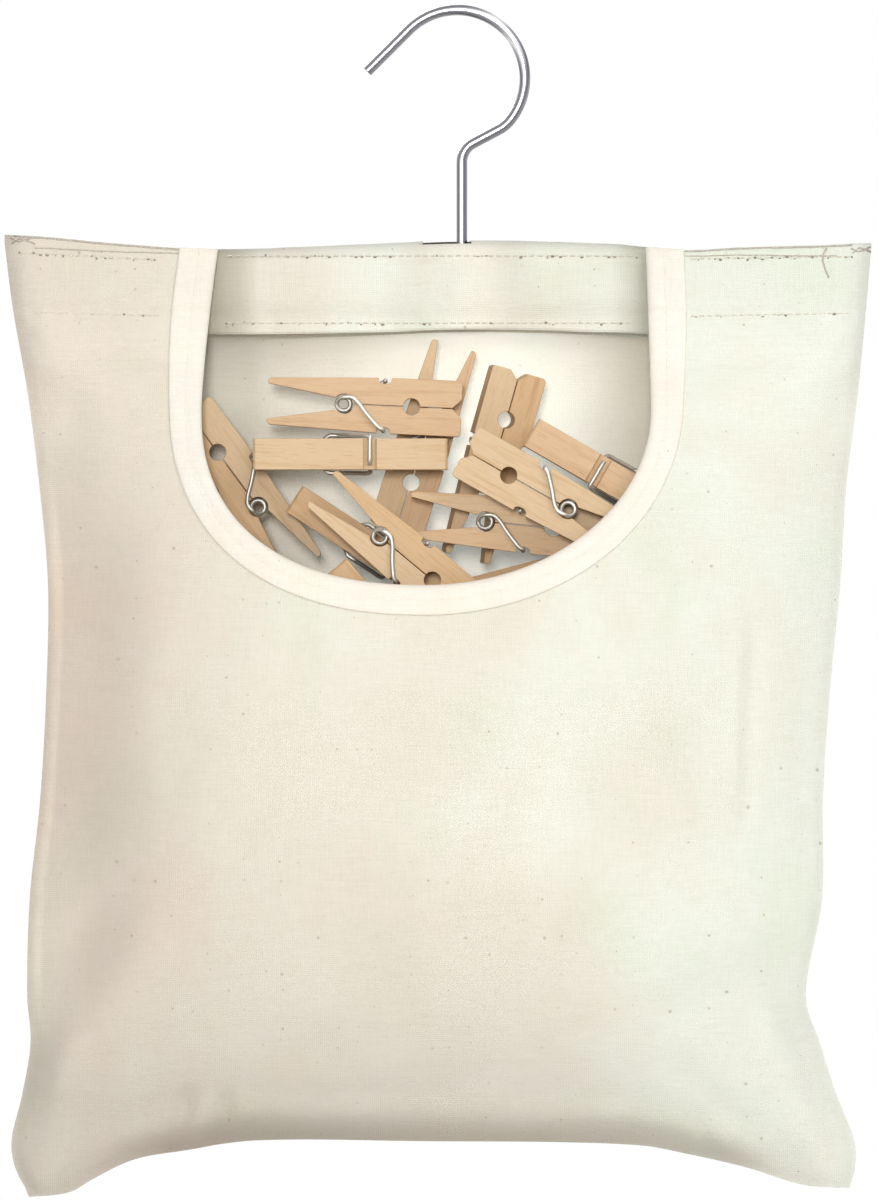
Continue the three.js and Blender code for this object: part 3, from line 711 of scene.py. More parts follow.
# Painted shadow: the slit's cut faces are dark where the slit is in shade.
slit_painted_shadow = thread_and_painted_shadow_material("slit_painted_shadow", srgb(58, 54, 50), srgb(92, 86, 78))
seam_shadow = thread_and_painted_shadow_material("seam_shadow", srgb(162, 155, 144), srgb(202, 194, 182))
needle_shadow = thread_and_painted_shadow_material("needle_shadow", srgb(130, 122, 108), srgb(168, 158, 143))

for name, material in (("hook_washer", wire_metal), ("hanger_bar", bar_wood)):
    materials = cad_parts[name].data.materials
    materials.clear()
    materials.append(material)


# Camera and lights

PIXEL = 0.38
PHOTO_WIDTH = 878
PHOTO_HEIGHT = 1200
ORIGIN_ACROSS = 457
ORIGIN_DOWN = 15.3
CAMERA_DISTANCE = 5000
SENSOR = 36

camera_data = bpy.data.cameras.new("camera")
camera = bpy.data.objects.new("camera", camera_data)
bpy.context.scene.collection.objects.link(camera)
camera.location = (
    (PHOTO_WIDTH / 2 - ORIGIN_ACROSS) * PIXEL * MM,
    -CAMERA_DISTANCE * MM,
    -(PHOTO_HEIGHT / 2 - ORIGIN_DOWN) * PIXEL * MM,
)
camera.rotation_euler = (math.radians(90), 0, 0)
camera_data.sensor_width = SENSOR
camera_data.lens = SENSOR * CAMERA_DISTANCE / (PHOTO_HEIGHT * PIXEL)
bpy.context.scene.camera = camera


def add_sun(name, strength, softness, direction, colour):
    light = bpy.data.lights.new(name, "SUN")
    light.energy = strength
    light.angle = math.radians(softness)
    light.color = colour
    lamp = bpy.data.objects.new(name, light)
    bpy.context.scene.collection.objects.link(lamp)
    lamp.rotation_euler = Vector(direction).to_track_quat("-Z", "Y").to_euler()


WARM = (1, 0.99, 0.97)
add_sun("key", 0.8, 30, (-0.8, 1, -0.7), WARM)
add_sun("front", 1.75, 10, (0.05, 1, -0.1), WARM)
add_sun("fill", 0.15, 60, (1, 0.8, -0.1), (1, 0.96, 0.92))
add_sun("behind", 1.3, 30, (0.3, -1, -0.45), WARM)

world = bpy.data.worlds.new("studio")
bpy.context.scene.world = world
world.use_nodes = True
studio = Nodes(world.node_tree)
background = studio.nodes["Background"].inputs
studio.feed(background["Color"], studio.mix((0.36, 0.36, 0.37, 1), (*PLAIN, 1), studio.seen()))
background["Strength"].default_value = 1
bpy.context.scene.view_settings.view_transform = "Standard"

FLOOR = -640
FLOOR_REACH = 4000
ground = Shader("floor")
ground.set(
    base_color=ground.ramp(
        ground.noise((3, 3, 3), 2, 0.5), (0.3, (0.86, 0.86, 0.86)), (0.7, (0.9, 0.9, 0.9))
    ),
    roughness=0.9,
    emission_color=(*PLAIN, 1),
    emission_strength=ground.product(ground.seen(), 0.3),
)
corners = [
    (x * FLOOR_REACH, y * FLOOR_REACH, FLOOR) for x, y in ((-1, -1), (1, -1), (1, 1), (-1, 1))
]
floor = make_piece("floor", corners, [(0, 1, 2, 3)], ground.material, None)


# Hook

def bent_wire(at, heading, steps, spacing):
    points = [at]
    x, z = at
    angle = heading
    for kind, size, turn in steps:
        if kind == "straight":
            pieces = max(1, round(size / spacing))
            for k in range(1, pieces + 1):
                go = size * k / pieces
                points.append((x + go * math.cos(angle), z + go * math.sin(angle)))
        else:
            turn = math.radians(turn)
            sign = math.copysign(1, turn)
            cx, cz = x - sign * size * math.sin(angle), z + sign * size * math.cos(angle)
            pieces = max(3, round(abs(turn) * size / spacing))
            for k in range(1, pieces + 1):
                now = angle + turn * k / pieces
                points.append((cx + sign * size * math.sin(now), cz - sign * size * math.cos(now)))
            angle += turn
        x, z = points[-1]
    return points


NECK = [
    ("straight", HOOK_SHANK_LENGTH, 0),
    ("bend", HOOK_NECK_RADIUS, -HOOK_NECK_ANGLE),
    ("straight", HOOK_SLOPE_LENGTH, 0),
    ("bend", HOOK_SHOULDER_RADIUS, HOOK_SHOULDER_ANGLE),
]
BEND = [("bend", HOOK_RADIUS, HOOK_SWEEP_ANGLE), ("straight", HOOK_TIP_LENGTH, 0)]
bend_x, bend_z = bent_wire((0, 0), math.pi / 2, NECK, 1)[-1]
bend_heading = math.pi / 2 + math.radians(HOOK_SHOULDER_ANGLE - HOOK_NECK_ANGLE)
shift_x = HOOK_RADIUS * math.sin(bend_heading) - bend_x
shift_z = WIRE_RADIUS - HOOK_RADIUS - bend_z - HOOK_RADIUS * math.cos(bend_heading)
wire_line = bent_wire((0, 0), math.pi / 2, NECK + BEND, 1)
hook_line = [(x + shift_x, 0, z + shift_z) for x, z in wire_line]
SHANK_X = hook_line[0][0]
hook_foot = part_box("hook")[0].z / MM
hook_line[0] = (SHANK_X, 0, hook_foot + HEAD_HEIGHT / 2)
hook_mesh = ([], [])
add_mesh(hook_mesh, *tube(hook_line, WIRE_RADIUS, WIRE_SIDES))

HEAD_PROFILE = (
    (HEAD_RADIUS - 0.9, 0), (HEAD_RADIUS - 0.3, 0.3), (HEAD_RADIUS, 0.9),
    (HEAD_RADIUS, HEAD_HEIGHT - 0.4), (HEAD_RADIUS - 0.4, HEAD_HEIGHT),
)
head_points = []
for radius, up in HEAD_PROFILE:
    centre = Vector((SHANK_X, 0, hook_foot + up))
    head_points += circle(centre, Vector((1, 0, 0)), Vector((0, 1, 0)), radius, WIRE_SIDES)
add_mesh(hook_mesh, head_points, face_out(head_points, ring_faces(len(HEAD_PROFILE), WIRE_SIDES)))
hook = make_piece("hook_wire", *hook_mesh, wire_metal, "hook")
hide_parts("hook")
soften(hook, HOOK_EDGE, 50)


# Front cloth

FRONT_COLUMNS = 400
FRONT_ROWS = 84


def seam_thickness(s, t):
    near = min(s * BAG_WIDTH, (1 - s) * BAG_WIDTH, (1 - t) * BAG_HEIGHT)
    return CLOTH * lerp(0.3, 1, smooth_step(near, 0, 5))


front_outer, front_lining = [], []
for i in range(FRONT_COLUMNS + 1):
    a = i / FRONT_COLUMNS
    s0, t0 = share_of(*mouth_point(a))
    s1, t1 = frame_share(a)
    outer_row, inner_row = [], []
    for j in range(FRONT_ROWS + 1):
        share = (1 - math.cos(math.pi * j / FRONT_ROWS)) / 2
        s, t = lerp(s0, s1, share), lerp(t0, t1, share)
        x, z = place_at(s, t)
        y = front_inner(s, t) - front_relief(x, z, s)
        inner_row.append((x, y, z))
        outer_row.append((x, y - seam_thickness(s, t), z))
    front_outer.append(outer_row)
    front_lining.append(inner_row)
front_cloth = make_piece("front_cloth", *between_grids(front_outer, front_lining), canvas, "bag")
# Painted shade along the bottom seam: a band of darkening above the bottom edge, kept per point for
# the cloth's colour, fading towards both corners.
shade = front_cloth.data.attributes.new("painted_edge_shade", "FLOAT", "POINT")
for vertex, value in zip(front_cloth.data.vertices, shade.data):
    x, _, z = (c / MM for c in vertex.co)
    above = z - bottom_at(clamp(share_of(x, z)[0]))
    band = 8 + 8 * bell(x - 80, 32) + 4 * bell(x + 83, 16)
    ends = (1 - 0.85 * smooth_step(x, 104, 132)) * (1 - 0.75 * smooth_step(-x, 100, 145))
    value.value = bell(above, band) * ends
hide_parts("front_panel")


# Back cloth with its fold over the bar and the turned-in hem

BACK_COLUMNS = 130
BACK_ROWS = 96
FOLD_ROWS = 14
HEM_ROWS = 18
SEAM_Y = -2.6
HEAD_ROOM = 9
# The hem's waves beside the shank: height, place from it and half width
SHANK_WAVES = ((-1.3, -13, 6), (-1, 16, 7), (0.7, 32, 9))
PINCH_PLACES = (-93, 76)
PINCH_DEPTH = 2
PINCH_WIDTH = 9


def hem_closing(z, s, width):
    return 0.92 * bell(z - HEM_ROW, width) * smooth_step(min(s, 1 - s), 0, 0.03)


def back_point(s, t, extra):
    x, z = place_at(s, t)
    y = back_inner(s, t)
    relief = ripple(x, z, 11) + seam_pucker(x, z, s, 5)
    relief += sum(crease(x, z, line) for line in BACK_CREASES)
    relief += stitch_pinch(x, z, TOP_ROW, 0.8)
    relief *= smooth_step(min(s, 1 - s), 0, 0.02) * smooth_step(t, 0.03, 0.08)
    closing = hem_closing(z, s, 3.5) * (1 - 0.95 * bell(x - SHANK_X, HEAD_ROOM))
    return x, lerp(y + relief, SEAM_Y, closing) + extra, z


def fold_point(s, angle, extra):
    radius = back_inner(s, FOLD_SHARE)
    x, _ = place_at(s, 0)
    centre = top_at(s) - radius - CLOTH
    reach = radius + extra + 0.12 * noise.noise(Vector((x / 9, angle, 2)))
    return x, reach * math.cos(angle), centre + reach * math.sin(angle)


def hem_point(s, share, extra):
    x0, y0, z0 = fold_point(s, math.pi, extra)
    z = lerp(z0, hem_end(s), share)
    x, _ = place_at(s, (top_at(s) - z) / (top_at(s) - bottom_at(s)))
    closing = hem_closing(max(z, HEM_ROW), s, 6) * (1 - 0.45 * bell(x - SHANK_X, HEAD_ROOM))
    y = lerp(y0, SEAM_Y - 0.1 - extra, closing)
    swell = 1.7 * bell(x - SHANK_X - 1, 3 + 0.12 * (BAG_TOP - z))
    swell += sum(height * bell(x - SHANK_X - at, width) for height, at, width in SHANK_WAVES)
    pinch = PINCH_DEPTH * sum(bell(x - at, PINCH_WIDTH) for at in PINCH_PLACES)
    swell -= pinch * lerp(1, 0.35, smooth_step(z, HEM_ROW + 2, HEM_ROW + 8))
    swell *= smooth_step(z, HEM_ROW - 2, HEM_ROW + 12)
    wave = ripple(x, z, 21) * 0.8 + stitch_pinch(x, z, TOP_ROW, 0.7)
    puckers = 0.35 * bell(z - HEM_ROW, 4) * math.sin(x * 0.9 + 2 * math.sin(x * 0.21))
    relief = (swell + wave + puckers) * smooth_step(share, 0, 0.1)
    return x, y - relief * smooth_step(min(s, 1 - s), 0, 0.02), z


back_lining, back_outer = [], []
columns = [j / BACK_COLUMNS for j in range(BACK_COLUMNS + 1)]
back_steps = [
    (back_point, t, t)
    for t in (1 - (i / BACK_ROWS) * (1 - FOLD_SHARE) for i in range(BACK_ROWS + 1))
]
back_steps += [(fold_point, math.pi * i / FOLD_ROWS, 0) for i in range(FOLD_ROWS + 1)]
back_steps += [(hem_point, i / HEM_ROWS, 0) for i in range(1, HEM_ROWS + 1)]
for point_at, step, t in back_steps:
    back_lining.append([point_at(s, step, 0) for s in columns])
    back_outer.append([point_at(s, step, seam_thickness(s, t)) for s in columns])
back_cloth = make_piece("back_cloth", *between_grids(back_outer, back_lining), canvas, "bag")


def cut(piece, low, high):
    corners = [(x, y, z) for x in (low[0], high[0]) for y in (low[1], high[1])
               for z in (low[2], high[2])]
    sides = [(0, 1, 3, 2), (4, 6, 7, 5), (0, 4, 5, 1), (2, 3, 7, 6), (0, 2, 6, 4), (1, 5, 7, 3)]
    block = make_piece("cutter", corners, face_out(corners, sides), canvas, None)
    modifier = piece.modifiers.new("cut", "BOOLEAN")
    modifier.operation = "DIFFERENCE"
    modifier.solver = "EXACT"
    modifier.object = block
    graph = bpy.context.evaluated_depsgraph_get()
    result = bpy.data.meshes.new_from_object(piece.evaluated_get(graph))
    piece.modifiers.clear()
    piece.data = result
    bpy.data.objects.remove(block)


slit_left = SHANK_X - SLIT_LENGTH * SLIT_SHARE
cut(
    back_cloth,
    (slit_left, SLIT_FRONT, BAG_TOP - SLIT_DEPTH - 1),
    (slit_left + SLIT_LENGTH, SLIT_BACK, BAG_TOP + SLIT_DEPTH),
)
for material in (lining, slit_painted_shadow, hem_canvas_painted_light):
    back_cloth.data.materials.append(material)
LINING_INDEX, SLIT_INDEX, HEM_INDEX = 1, 2, 3
NEAR = 0.1
HEM_LIP = 0.4
for polygon in back_cloth.data.polygons:
    x, y, z = (c / MM for c in polygon.center)
    if polygon.normal.y < 0 and z < hem_end(share_of(x, z)[0]) - HEM_LIP:
        polygon.material_index = LINING_INDEX
    elif polygon.normal.y < 0 and y < 0:
        polygon.material_index = HEM_INDEX
    # Painted shadow on the slit's cut faces.
    in_length = slit_left - NEAR < x < slit_left + SLIT_LENGTH + NEAR
    if in_length and SLIT_FRONT - NEAR < y < SLIT_BACK + NEAR and z > BAG_TOP - SLIT_DEPTH:
        polygon.material_index = SLIT_INDEX
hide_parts("back_panel")


# Binding: one tape folded over the mouth's edge

TAPE_STEPS = 300
TAPE = 0.75
TAPE_GAP = 0.15
TAPE_STEP = 0.006


def mouth_frame(a):
    x, z = mouth_point(a)
    x0, z0 = mouth_point(max(a - TAPE_STEP, 0))
    x1, z1 = mouth_point(min(a + TAPE_STEP, 1))
    length = math.hypot(x1 - x0, z1 - z0)
    return x, z, (z1 - z0) / length, -(x1 - x0) / length


def tape_reach(a):
    return TAPE_LEAF + TAPE_SIDE_EXTRA * smooth_step(abs(a - 0.5), 0.18, 0.42)


def tape_point(a, reach, lift):
    x, z, out_x, out_z = mouth_frame(a)
    x, z = x + out_x * reach, z + out_z * reach
    s, t = share_of(x, z)
    z = min(z, top_at(s))
    return x, front_inner(s, t) - front_relief(x, z, s) - CLOTH / 2 - lift, z


tape_rings = []
for i in range(TAPE_STEPS + 1):
    a = i / TAPE_STEPS
    leaf = tape_reach(a)
    swell = 0.2 * noise.noise(Vector((a * 120, 0, 0)))
    swell += 0.12 * noise.noise(Vector((a * 420, 3, 0)))
    near = CLOTH / 2 + TAPE_GAP
    puff = near + TAPE + 0.25 + swell
    front = [
        (leaf, near + 0.1), (leaf + 0.15, near + TAPE * 0.6), (leaf - 0.4, near + TAPE),
        (leaf - 1.6, puff - 0.1), (leaf * 0.72, puff), (leaf * 0.52, puff + 0.1),
        (leaf * 0.42, near + TAPE - 0.12), (leaf * 0.32, puff + 0.05), (leaf * 0.12, puff + 0.1),
        (-0.5, near + TAPE), (-TAPE_OVERHANG, near * 0.55), (-TAPE_OVERHANG - 0.1, 0),
    ]
    back = [(reach, -lift) for reach, lift in reversed(front[:-1])]
    inside = [
        (leaf, -near), (leaf * 0.5, -near), (0.2, -near), (-0.3, 0), (0.2, near), (leaf * 0.5, near),
    ]
    tape_rings.append([tape_point(a, *p) for p in front + back + inside])
tape_points = [p for section in tape_rings for p in section]
tape_faces = face_out(tape_points, ring_faces(TAPE_STEPS + 1, len(tape_rings[0])))
binding = make_piece("binding_tape", tape_points, tape_faces, tape, "bag")
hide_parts("mouth_binding")


# Stitches

STITCH_PITCH = 3.1
STITCH_LENGTH = 2.3
STITCH_RADIUS = 0.33
STITCH_SIDES = 6
STITCH_START = 0.6
# Share of the length, share of the radius, lift in radii
STITCH_RINGS = ((0, 0.15, -0.35), (0.18, 0.85, 0), (0.5, 1, 0.12), (0.82, 0.85, 0), (1, 0.15, -0.35))
STITCH_LIFT = 0.12
EAR_STEPS = 60
HEM_STEPS = 120
TAPE_ROW_STEPS = 400
TAPE_ROW_SHARE = 0.42
HOLE_SIDES = 8
FOLD_STEPS = 30
FOLD_LIFT = 0.06
SEED = 5


def stitch(start, end):
    along = (end - start).normalized()
    side = along.cross(Vector((0, 1, 0))).normalized()
    up = side.cross(along)
    points = []
    for share, width, lift in STITCH_RINGS:
        centre = start.lerp(end, share) + up * lift * STITCH_RADIUS
        points += circle(centre, side, up, STITCH_RADIUS * width, STITCH_SIDES)
    return points, ring_faces(len(STITCH_RINGS), STITCH_SIDES)


def stitch_along(total, line):
    line = [Vector(p) for p in line]
    lengths = [0.0]
    for a, b in zip(line, line[1:]):
        lengths.append(lengths[-1] + (b - a).length)

    def at(distance):
        k = 0
        while k < len(line) - 2 and lengths[k + 1] < distance:
            k += 1
        return line[k].lerp(line[k + 1], (distance - lengths[k]) / (lengths[k + 1] - lengths[k]))

    distance = STITCH_START
    while distance + STITCH_LENGTH < lengths[-1]:
        add_mesh(total, *stitch(at(distance), at(distance + STITCH_LENGTH)))
        distance += STITCH_PITCH


def punch_along(total, line, share, draw):
    """Small dark discs beside a share of the stitches: painted shade of needle holes."""
    line = [Vector(p) for p in line]
    pitch = (line[1] - line[0]).length
    for k in range(0, len(line), max(1, round(STITCH_PITCH / pitch))):
        if draw.random() > share:
            continue
        centre = line[k] + Vector((draw.uniform(-0.6, 0.6), -0.14, draw.uniform(-0.7, 0.2)))
        wide, high = draw.uniform(0.3, 0.8), draw.uniform(0.22, 0.5)
        points = [
            (centre.x + wide * math.cos(angle), centre.y, centre.z + high * math.sin(angle))
            for angle in (math.tau * j / HOLE_SIDES for j in range(HOLE_SIDES))
        ]
        points += [(centre.x, centre.y - 0.1, centre.z), (centre.x, centre.y + 0.5, centre.z)]
        faces = []
        for a in range(HOLE_SIDES):
            b = (a + 1) % HOLE_SIDES
            faces += [(a, b, HOLE_SIDES), (b, a, HOLE_SIDES + 1)]
        add_mesh(total, points, faces)


def ear_row(x0, x1, z0, z1):
    row = []
    for k in range(EAR_STEPS + 1):
        x, z = lerp(x0, x1, k / EAR_STEPS), lerp(z0, z1, k / EAR_STEPS)
        row.append((x, front_face(x, z) - STITCH_LIFT, z))
    return row


def hem_row(x0, x1, z):
    row = []
    for k in range(HEM_STEPS + 1):
        x = lerp(x0, x1, k / HEM_STEPS)
        s, _ = share_of(x, z)
        fold_z = fold_point(s, math.pi, 0)[2]
        share = (fold_z - z) / (fold_z - hem_end(s))
        row.append((x, hem_point(s, share, CLOTH)[1] - STITCH_LIFT, z))
    return row


STITCH_ROWS = (
    (ear_row(-166, -112, -90.4, -93.4), 0.7), (ear_row(88, 150, -92.8, -92), 0.65),
    (ear_row(-161, -112, -113.2, -114.4), 0.25), (ear_row(88, 149, -114.6, -113.4), 0.3),
    (hem_row(-88, 68, -91.6), 0.35), (hem_row(-88, 68, HEM_ROW), 0.25),
)
hole_draw = random.Random(SEED)
stitch_mesh, hole_mesh = ([], []), ([], [])
for line, holes in STITCH_ROWS:
    stitch_along(stitch_mesh, line)
    punch_along(hole_mesh, line, holes, hole_draw)
stitches = make_piece("stitches", *stitch_mesh, thread, "bag")
# Painted shade of the needle holes, as small dark discs.
punched = make_piece("needle_hole_shadows", *hole_mesh, needle_shadow, "bag")


def under_top(x0, x1, below0, below1):
    """A line below the top edge, from one depth to another, slightly uneven."""
    line = []
    for share in (k / FOLD_STEPS for k in range(FOLD_STEPS + 1)):
        x = lerp(x0, x1, share)
        uneven = 0.25 * noise.noise(Vector((x / 4, 8, 0)))
        line.append((x, top_above(x) - lerp(below0, below1, share) - uneven))
    return line


# Thin dark lines: painted shadow under the cloth's folded edges on both ears, a dark curved line on
# the right ear and crossed threads at both corners
SHADOW_AND_THREAD_LINES = (
    (under_top(-168, -97, 0.5, 0.7), 0.34), (under_top(-160, -99, 4.6, 1.9), 0.24),
    (under_top(79, 150, 0.7, 0.6), 0.32), (under_top(80, 144, 2.2, 4.4), 0.24),
    ([(140.2, -88.8), (138.9, -91), (138.7, -94), (139.8, -97.2), (141, -99.8)], 0.42),
    ([(-169.5, -84.9), (-166.5, -86.3), (-163.5, -85.6), (-160.5, -84.7)], 0.3),
    ([(-169, -86.8), (-166, -85.1), (-163, -85.9), (-160, -87.1)], 0.3),
    ([(149.5, -88.8), (152, -90), (154.5, -89.4), (157, -88.1)], 0.3),
    ([(150, -90.6), (152.5, -88.6), (155, -88.9), (157.2, -90)], 0.3),
)
line_mesh = ([], [])
for line, radius in SHADOW_AND_THREAD_LINES:
    path = [(x, front_face(x, z) - FOLD_LIFT, z) for x, z in line]
    add_mesh(line_mesh, *tube(path, radius, STITCH_SIDES))
shadow_and_thread_lines = make_piece("shadow_and_thread_lines", *line_mesh, seam_shadow, "bag")

tape_row = [
    tape_point(a, tape_reach(a) * TAPE_ROW_SHARE, CLOTH / 2 + TAPE_GAP + TAPE - 0.1)
    for a in (k / TAPE_ROW_STEPS for k in range(TAPE_ROW_STEPS + 1))
]
tape_stitch_mesh = ([], [])
stitch_along(tape_stitch_mesh, tape_row)
tape_stitches = make_piece("tape_stitches", *tape_stitch_mesh, tape, "bag")


# Pegs

def arc(cx, cz, radius, start, end, steps):
    angles = [lerp(start, end, k / steps) for k in range(steps + 1)]
    return [(cx + radius * math.cos(angle), cz + radius * math.sin(angle)) for angle in angles]


def lever_outline():
    face = TOUCH_GAP / 2
    seat = COIL_RADIUS + SPRING_WIRE / 2 + TOUCH_GAP
    slope = (LEVER_JAW_HEIGHT - LEVER_TIP_HEIGHT) / (PEG_TO_GROOVE + PEG_TO_TIP)
    reach = math.sqrt(GRIP_HOLE_RADIUS ** 2 - face ** 2)
    hole_start = math.atan2(face, -reach)
    half = GROOVE_WIDTH / 2
    hole = arc(PEG_TO_HOLE, 0, GRIP_HOLE_RADIUS, hole_start, math.pi - hole_start, ARC_STEPS)
    outline = arc(0, 0, seat, math.radians(SEAT_ANGLE), math.asin(face / seat), ARC_STEPS)
    outline += [(x, max(z, face)) for x, z in hole]
    outline += [
        (PEG_TO_JAW - JAW_BEVEL, face), (PEG_TO_JAW, JAW_BEVEL),
        (PEG_TO_JAW, LEVER_JAW_HEIGHT - CORNER_CUT), (PEG_TO_JAW - CORNER_CUT, LEVER_JAW_HEIGHT),
        (PEG_TO_GROOVE + half, LEVER_JAW_HEIGHT),
    ]
    for angle in (math.pi * k / GROOVE_STEPS for k in range(1, GROOVE_STEPS)):
        depth = GROOVE_DEPTH * math.sin(angle) ** 0.5
        outline.append((PEG_TO_GROOVE + half * math.cos(angle), LEVER_JAW_HEIGHT - depth))
    return outline + [
        (PEG_TO_GROOVE - half, LEVER_JAW_HEIGHT - half * slope),
        (-PEG_TO_TIP + CORNER_CUT, LEVER_TIP_HEIGHT), (-PEG_TO_TIP, LEVER_TIP_HEIGHT - CORNER_CUT),
        (-PEG_TO_TIP, LEVER_TIP_HEIGHT - LEVER_TIP_THICKNESS),
    ]


LEVER = lever_outline()
ARM_SIDE = PEG_WIDTH / 2 + TOUCH_GAP + SPRING_WIRE / 2


def lever_mesh(side):
    count = len(LEVER)
    points = [(x, y, side * z) for y in (-PEG_WIDTH / 2, PEG_WIDTH / 2) for x, z in LEVER]
    faces = [tuple(range(count)), tuple(reversed(range(count, 2 * count)))]
    faces += [(k, k + count, (k + 1) % count + count, (k + 1) % count) for k in range(count)]
    return points, face_out(points, faces)


def between(a, b, t, low, high):
    return a.lerp(b, (t - low) / (high - low))


def centripetal(points, steps):
    points = [2 * points[0] - points[1]] + points + [2 * points[-1] - points[-2]]
    curve = []
    for i in range(1, len(points) - 2):
        p = points[i - 1:i + 3]
        knots = [0.0]
        for a, b in zip(p, p[1:]):
            knots.append(knots[-1] + math.sqrt((b - a).length))
        for k in range(steps):
            t = lerp(knots[1], knots[2], k / steps)
            first = [between(p[m], p[m + 1], t, knots[m], knots[m + 1]) for m in range(3)]
            second = [between(first[m], first[m + 1], t, knots[m], knots[m + 2]) for m in range(2)]
            curve.append(between(*second, t, knots[1], knots[2]))
    return curve + [points[-2]]


def spring_line():
    wire_z = LEVER_JAW_HEIGHT - GROOVE_DEPTH + TOUCH_GAP + SPRING_WIRE / 2
    end_turn = 0.25
    inner_half = (COIL_TURNS - 2 * end_turn) * COIL_PITCH / 2
    bend = SPRING_WIRE / 2
    shares = ((0.2, 1), (0.38, 0.82), (0.55, 0.55), (0.74, 0.28), (0.9, 0.08))
    arm = [Vector((0, -ARM_SIDE, COIL_RADIUS))]
    for along, share in shares:
        arm.append(Vector((PEG_TO_GROOVE * along, -ARM_SIDE, lerp(-wire_z, COIL_RADIUS, share))))
    arm += [
        Vector((PEG_TO_GROOVE, -ARM_SIDE + bend / 2, -wire_z + bend / 4)),
        Vector((PEG_TO_GROOVE, -ARM_SIDE + 2 * bend, -wire_z)),
        Vector((PEG_TO_GROOVE, PEG_WIDTH / 2 - 2 * bend, -wire_z)),
    ]
    curved = centripetal(arm, 4)[1:]
    steps = round(COIL_TURNS * COIL_STEPS)
    coil = []
    for k in range(steps + 1):
        turns = COIL_TURNS * k / steps
        angle = math.pi / 2 + math.tau * turns
        outward = max(0, end_turn - turns, turns - COIL_TURNS + end_turn) / end_turn
        inward = clamp(turns, end_turn, COIL_TURNS - end_turn) - COIL_TURNS / 2
        y = inward * COIL_PITCH + math.copysign(1, inward) * outward * (ARM_SIDE - inner_half)
        coil.append(Vector((COIL_RADIUS * math.cos(angle), y, COIL_RADIUS * math.sin(angle))))
    turned = [Vector((p.x, -p.y, -p.z)) for p in curved]
    return list(reversed(curved)) + coil + turned


SPRING = tube(spring_line(), SPRING_WIRE / 2, 12)


def peg_matrix(x, y, z, heading, roll):
    across = Matrix.Rotation(-math.radians(heading), 3, "Y")
    return across @ Matrix.Rotation(math.radians(roll), 3, "X"), Vector((x, y, z))


def placed(points, matrix):
    turn, at = matrix
    return [tuple(turn @ Vector(p) + at) for p in points]


def grain_map(piece, local_points, offsets):
    layer = piece.data.uv_layers.new(name="grain")
    for polygon in piece.data.polygons:
        for loop_index, vertex in zip(polygon.loop_indices, polygon.vertices):
            x, y, z = local_points[vertex]
            u, v = offsets[vertex]
            layer.data[loop_index].uv = (x * MM + u, (z + 0.7 * y) * MM + v)


def grain_shift():
    return peg_draw.random() * GRAIN_RANGE, peg_draw.random() * GRAIN_RANGE


GRAIN_RANGE = 3
BACK_LAYER = 4
ARM_REACH = ARM_SIDE + SPRING_WIRE / 2
EDGE_LAYER = BACK_LAYER - ARM_REACH - TOUCH_GAP - LEVER_JAW_HEIGHT
UPPER_LAYER = BACK_LAYER - ARM_REACH - TOUCH_GAP - PEG_WIDTH / 2
MIDDLE_LAYER = BACK_LAYER - 2 * ARM_REACH - TOUCH_GAP
FRONT_LAYER = MIDDLE_LAYER - ARM_REACH - PEG_WIDTH / 2 - TOUCH_GAP
PEGS = (
    (-0.181, -0.031, UPPER_LAYER, -2.5, 0, 1), (0.012, 0.044, BACK_LAYER, -107.6, 0, -1),
    (0.131, 0.419, BACK_LAYER - 2.6, 74.2, 8, -1), (-0.212, 0.25, EDGE_LAYER, 0, 90, 1),
    (0.454, 0.456, EDGE_LAYER, 150, 90, 1), (0.31, 0.556, FRONT_LAYER, 150.5, 0, 1),
    (0.129, 0.625, MIDDLE_LAYER, -5.5, 0, -1), (-0.369, 0.542, BACK_LAYER - 2.05, 126.6, 0, 1),
    (-0.101, 0.709, FRONT_LAYER, -39.8, 0, 1),
)
peg_draw = random.Random(SEED)
for number, (across, down, depth, heading, roll, free) in enumerate(PEGS, 1):
    x, z = MOUTH_CENTRE + across * MOUTH_WIDTH, MOUTH_WIDEST - down * MOUTH_DEPTH
    matrix = peg_matrix(x, depth, z, heading, roll)
    for kind, side, body in (("held", -free, "bag"), ("free", free, f"peg{number}_lever")):
        points, faces = lever_mesh(side)
        wood = beech[peg_draw.randrange(len(beech))]
        lever = make_piece(f"peg{number}_{kind}", placed(points, matrix), faces, wood, body, False)
        grain_map(lever, points, [grain_shift()] * len(points))
        soften(lever, LEVER_EDGE, LEVER_EDGE_ANGLE)
        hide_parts(f"peg{number}_{kind}_lever")
    spring = make_piece(f"peg{number}_coil", placed(SPRING[0], matrix), SPRING[1], spring_metal, None)
    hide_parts(f"peg{number}_spring")
    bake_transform(spring)


# Heap: the few pegs that show between the nine, and the ones below

heap = [
    (34.4, 4.5, -216.2, 12.4, 0), (-37.5, -5.5, -199.5, -33, 90), (-17.5, -24, -244.5, 130, 90),
]
HEAP_LAYERS = (-33, -16.5, 0, 16.5)
HEAP_TRIES = 900
LAYER_REACH = 19
HEAP_TOP = -224
HEAP_BOTTOM = -405
HEAP_SIDE_SHARE = 0.03
HALF_PEG = 9
PEG_ROOM = 11
CLOTH_ROOM = 2


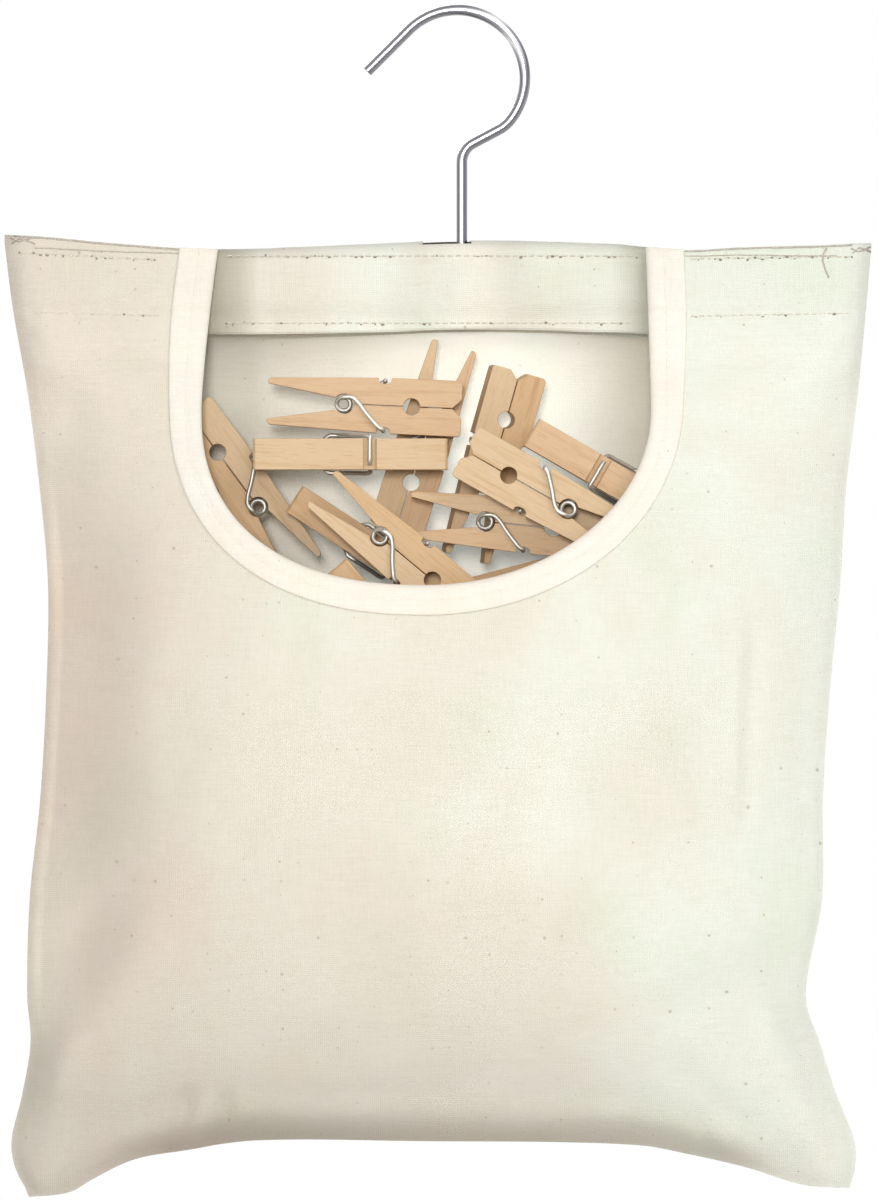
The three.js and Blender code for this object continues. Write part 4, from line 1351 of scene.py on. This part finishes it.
def corners_of(x, z, heading):
    along = Vector((math.cos(math.radians(heading)), math.sin(math.radians(heading))))
    across = Vector((-along.y, along.x))
    jaw, tip = PEG_TO_JAW + 1, -PEG_TO_TIP - 1
    return [
        Vector((x, z)) + along * reach + across * side * PEG_ROOM
        for reach, side in ((jaw, 1), (jaw, -1), (tip, -1), (tip, 1))
    ]


def apart(first, second):
    for shape in (first, second):
        for k in range(2):
            edge_way = shape[k + 1] - shape[k]
            axis = Vector((-edge_way.y, edge_way.x))
            a = [axis.dot(p) for p in first]
            b = [axis.dot(p) for p in second]
            if max(a) < min(b) or max(b) < min(a):
                return True
    return False


def fits_bag(corners, y):
    front, back = y - HALF_PEG - CLOTH_ROOM, y + HALF_PEG + CLOTH_ROOM
    for x, z in corners:
        s, t = share_of(x, z)
        if not HEAP_BOTTOM <= z <= HEAP_TOP or not HEAP_SIDE_SHARE < s < 1 - HEAP_SIDE_SHARE:
            return False
        if front < front_inner(s, t) or back > back_inner(s, t):
            return False
    return True


for y in HEAP_LAYERS:
    layer = [corners_of(x, z, heading) for x, yy, z, heading, _ in heap if abs(yy - y) < LAYER_REACH]
    for _ in range(HEAP_TRIES):
        x, z = peg_draw.uniform(-130, 110), peg_draw.uniform(-330, -226)
        heading = peg_draw.uniform(-180, 180)
        shape = corners_of(x, z, heading)
        if fits_bag(shape, y) and all(apart(shape, other) for other in layer):
            layer.append(shape)
            heap.append((x, y, z, heading, 0))

wood_mesh, wire_mesh = ([], []), ([], [])
wood_local, wood_shift = [], []
for x, y, z, heading, roll in heap:
    matrix = peg_matrix(x, y, z, heading, roll)
    for side in (-1, 1):
        points, faces = lever_mesh(side)
        add_mesh(wood_mesh, placed(points, matrix), faces)
        wood_local += points
        wood_shift += [grain_shift()] * len(points)
    add_mesh(wire_mesh, placed(SPRING[0], matrix), SPRING[1])
heap_wood = make_piece("heap_levers", *wood_mesh, beech[1], "bag", False)
grain_map(heap_wood, wood_local, wood_shift)
soften(heap_wood, LEVER_EDGE, LEVER_EDGE_ANGLE)
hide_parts("peg_heap")
heap_wire = make_piece("heap_springs", *wire_mesh, spring_metal, "bag")
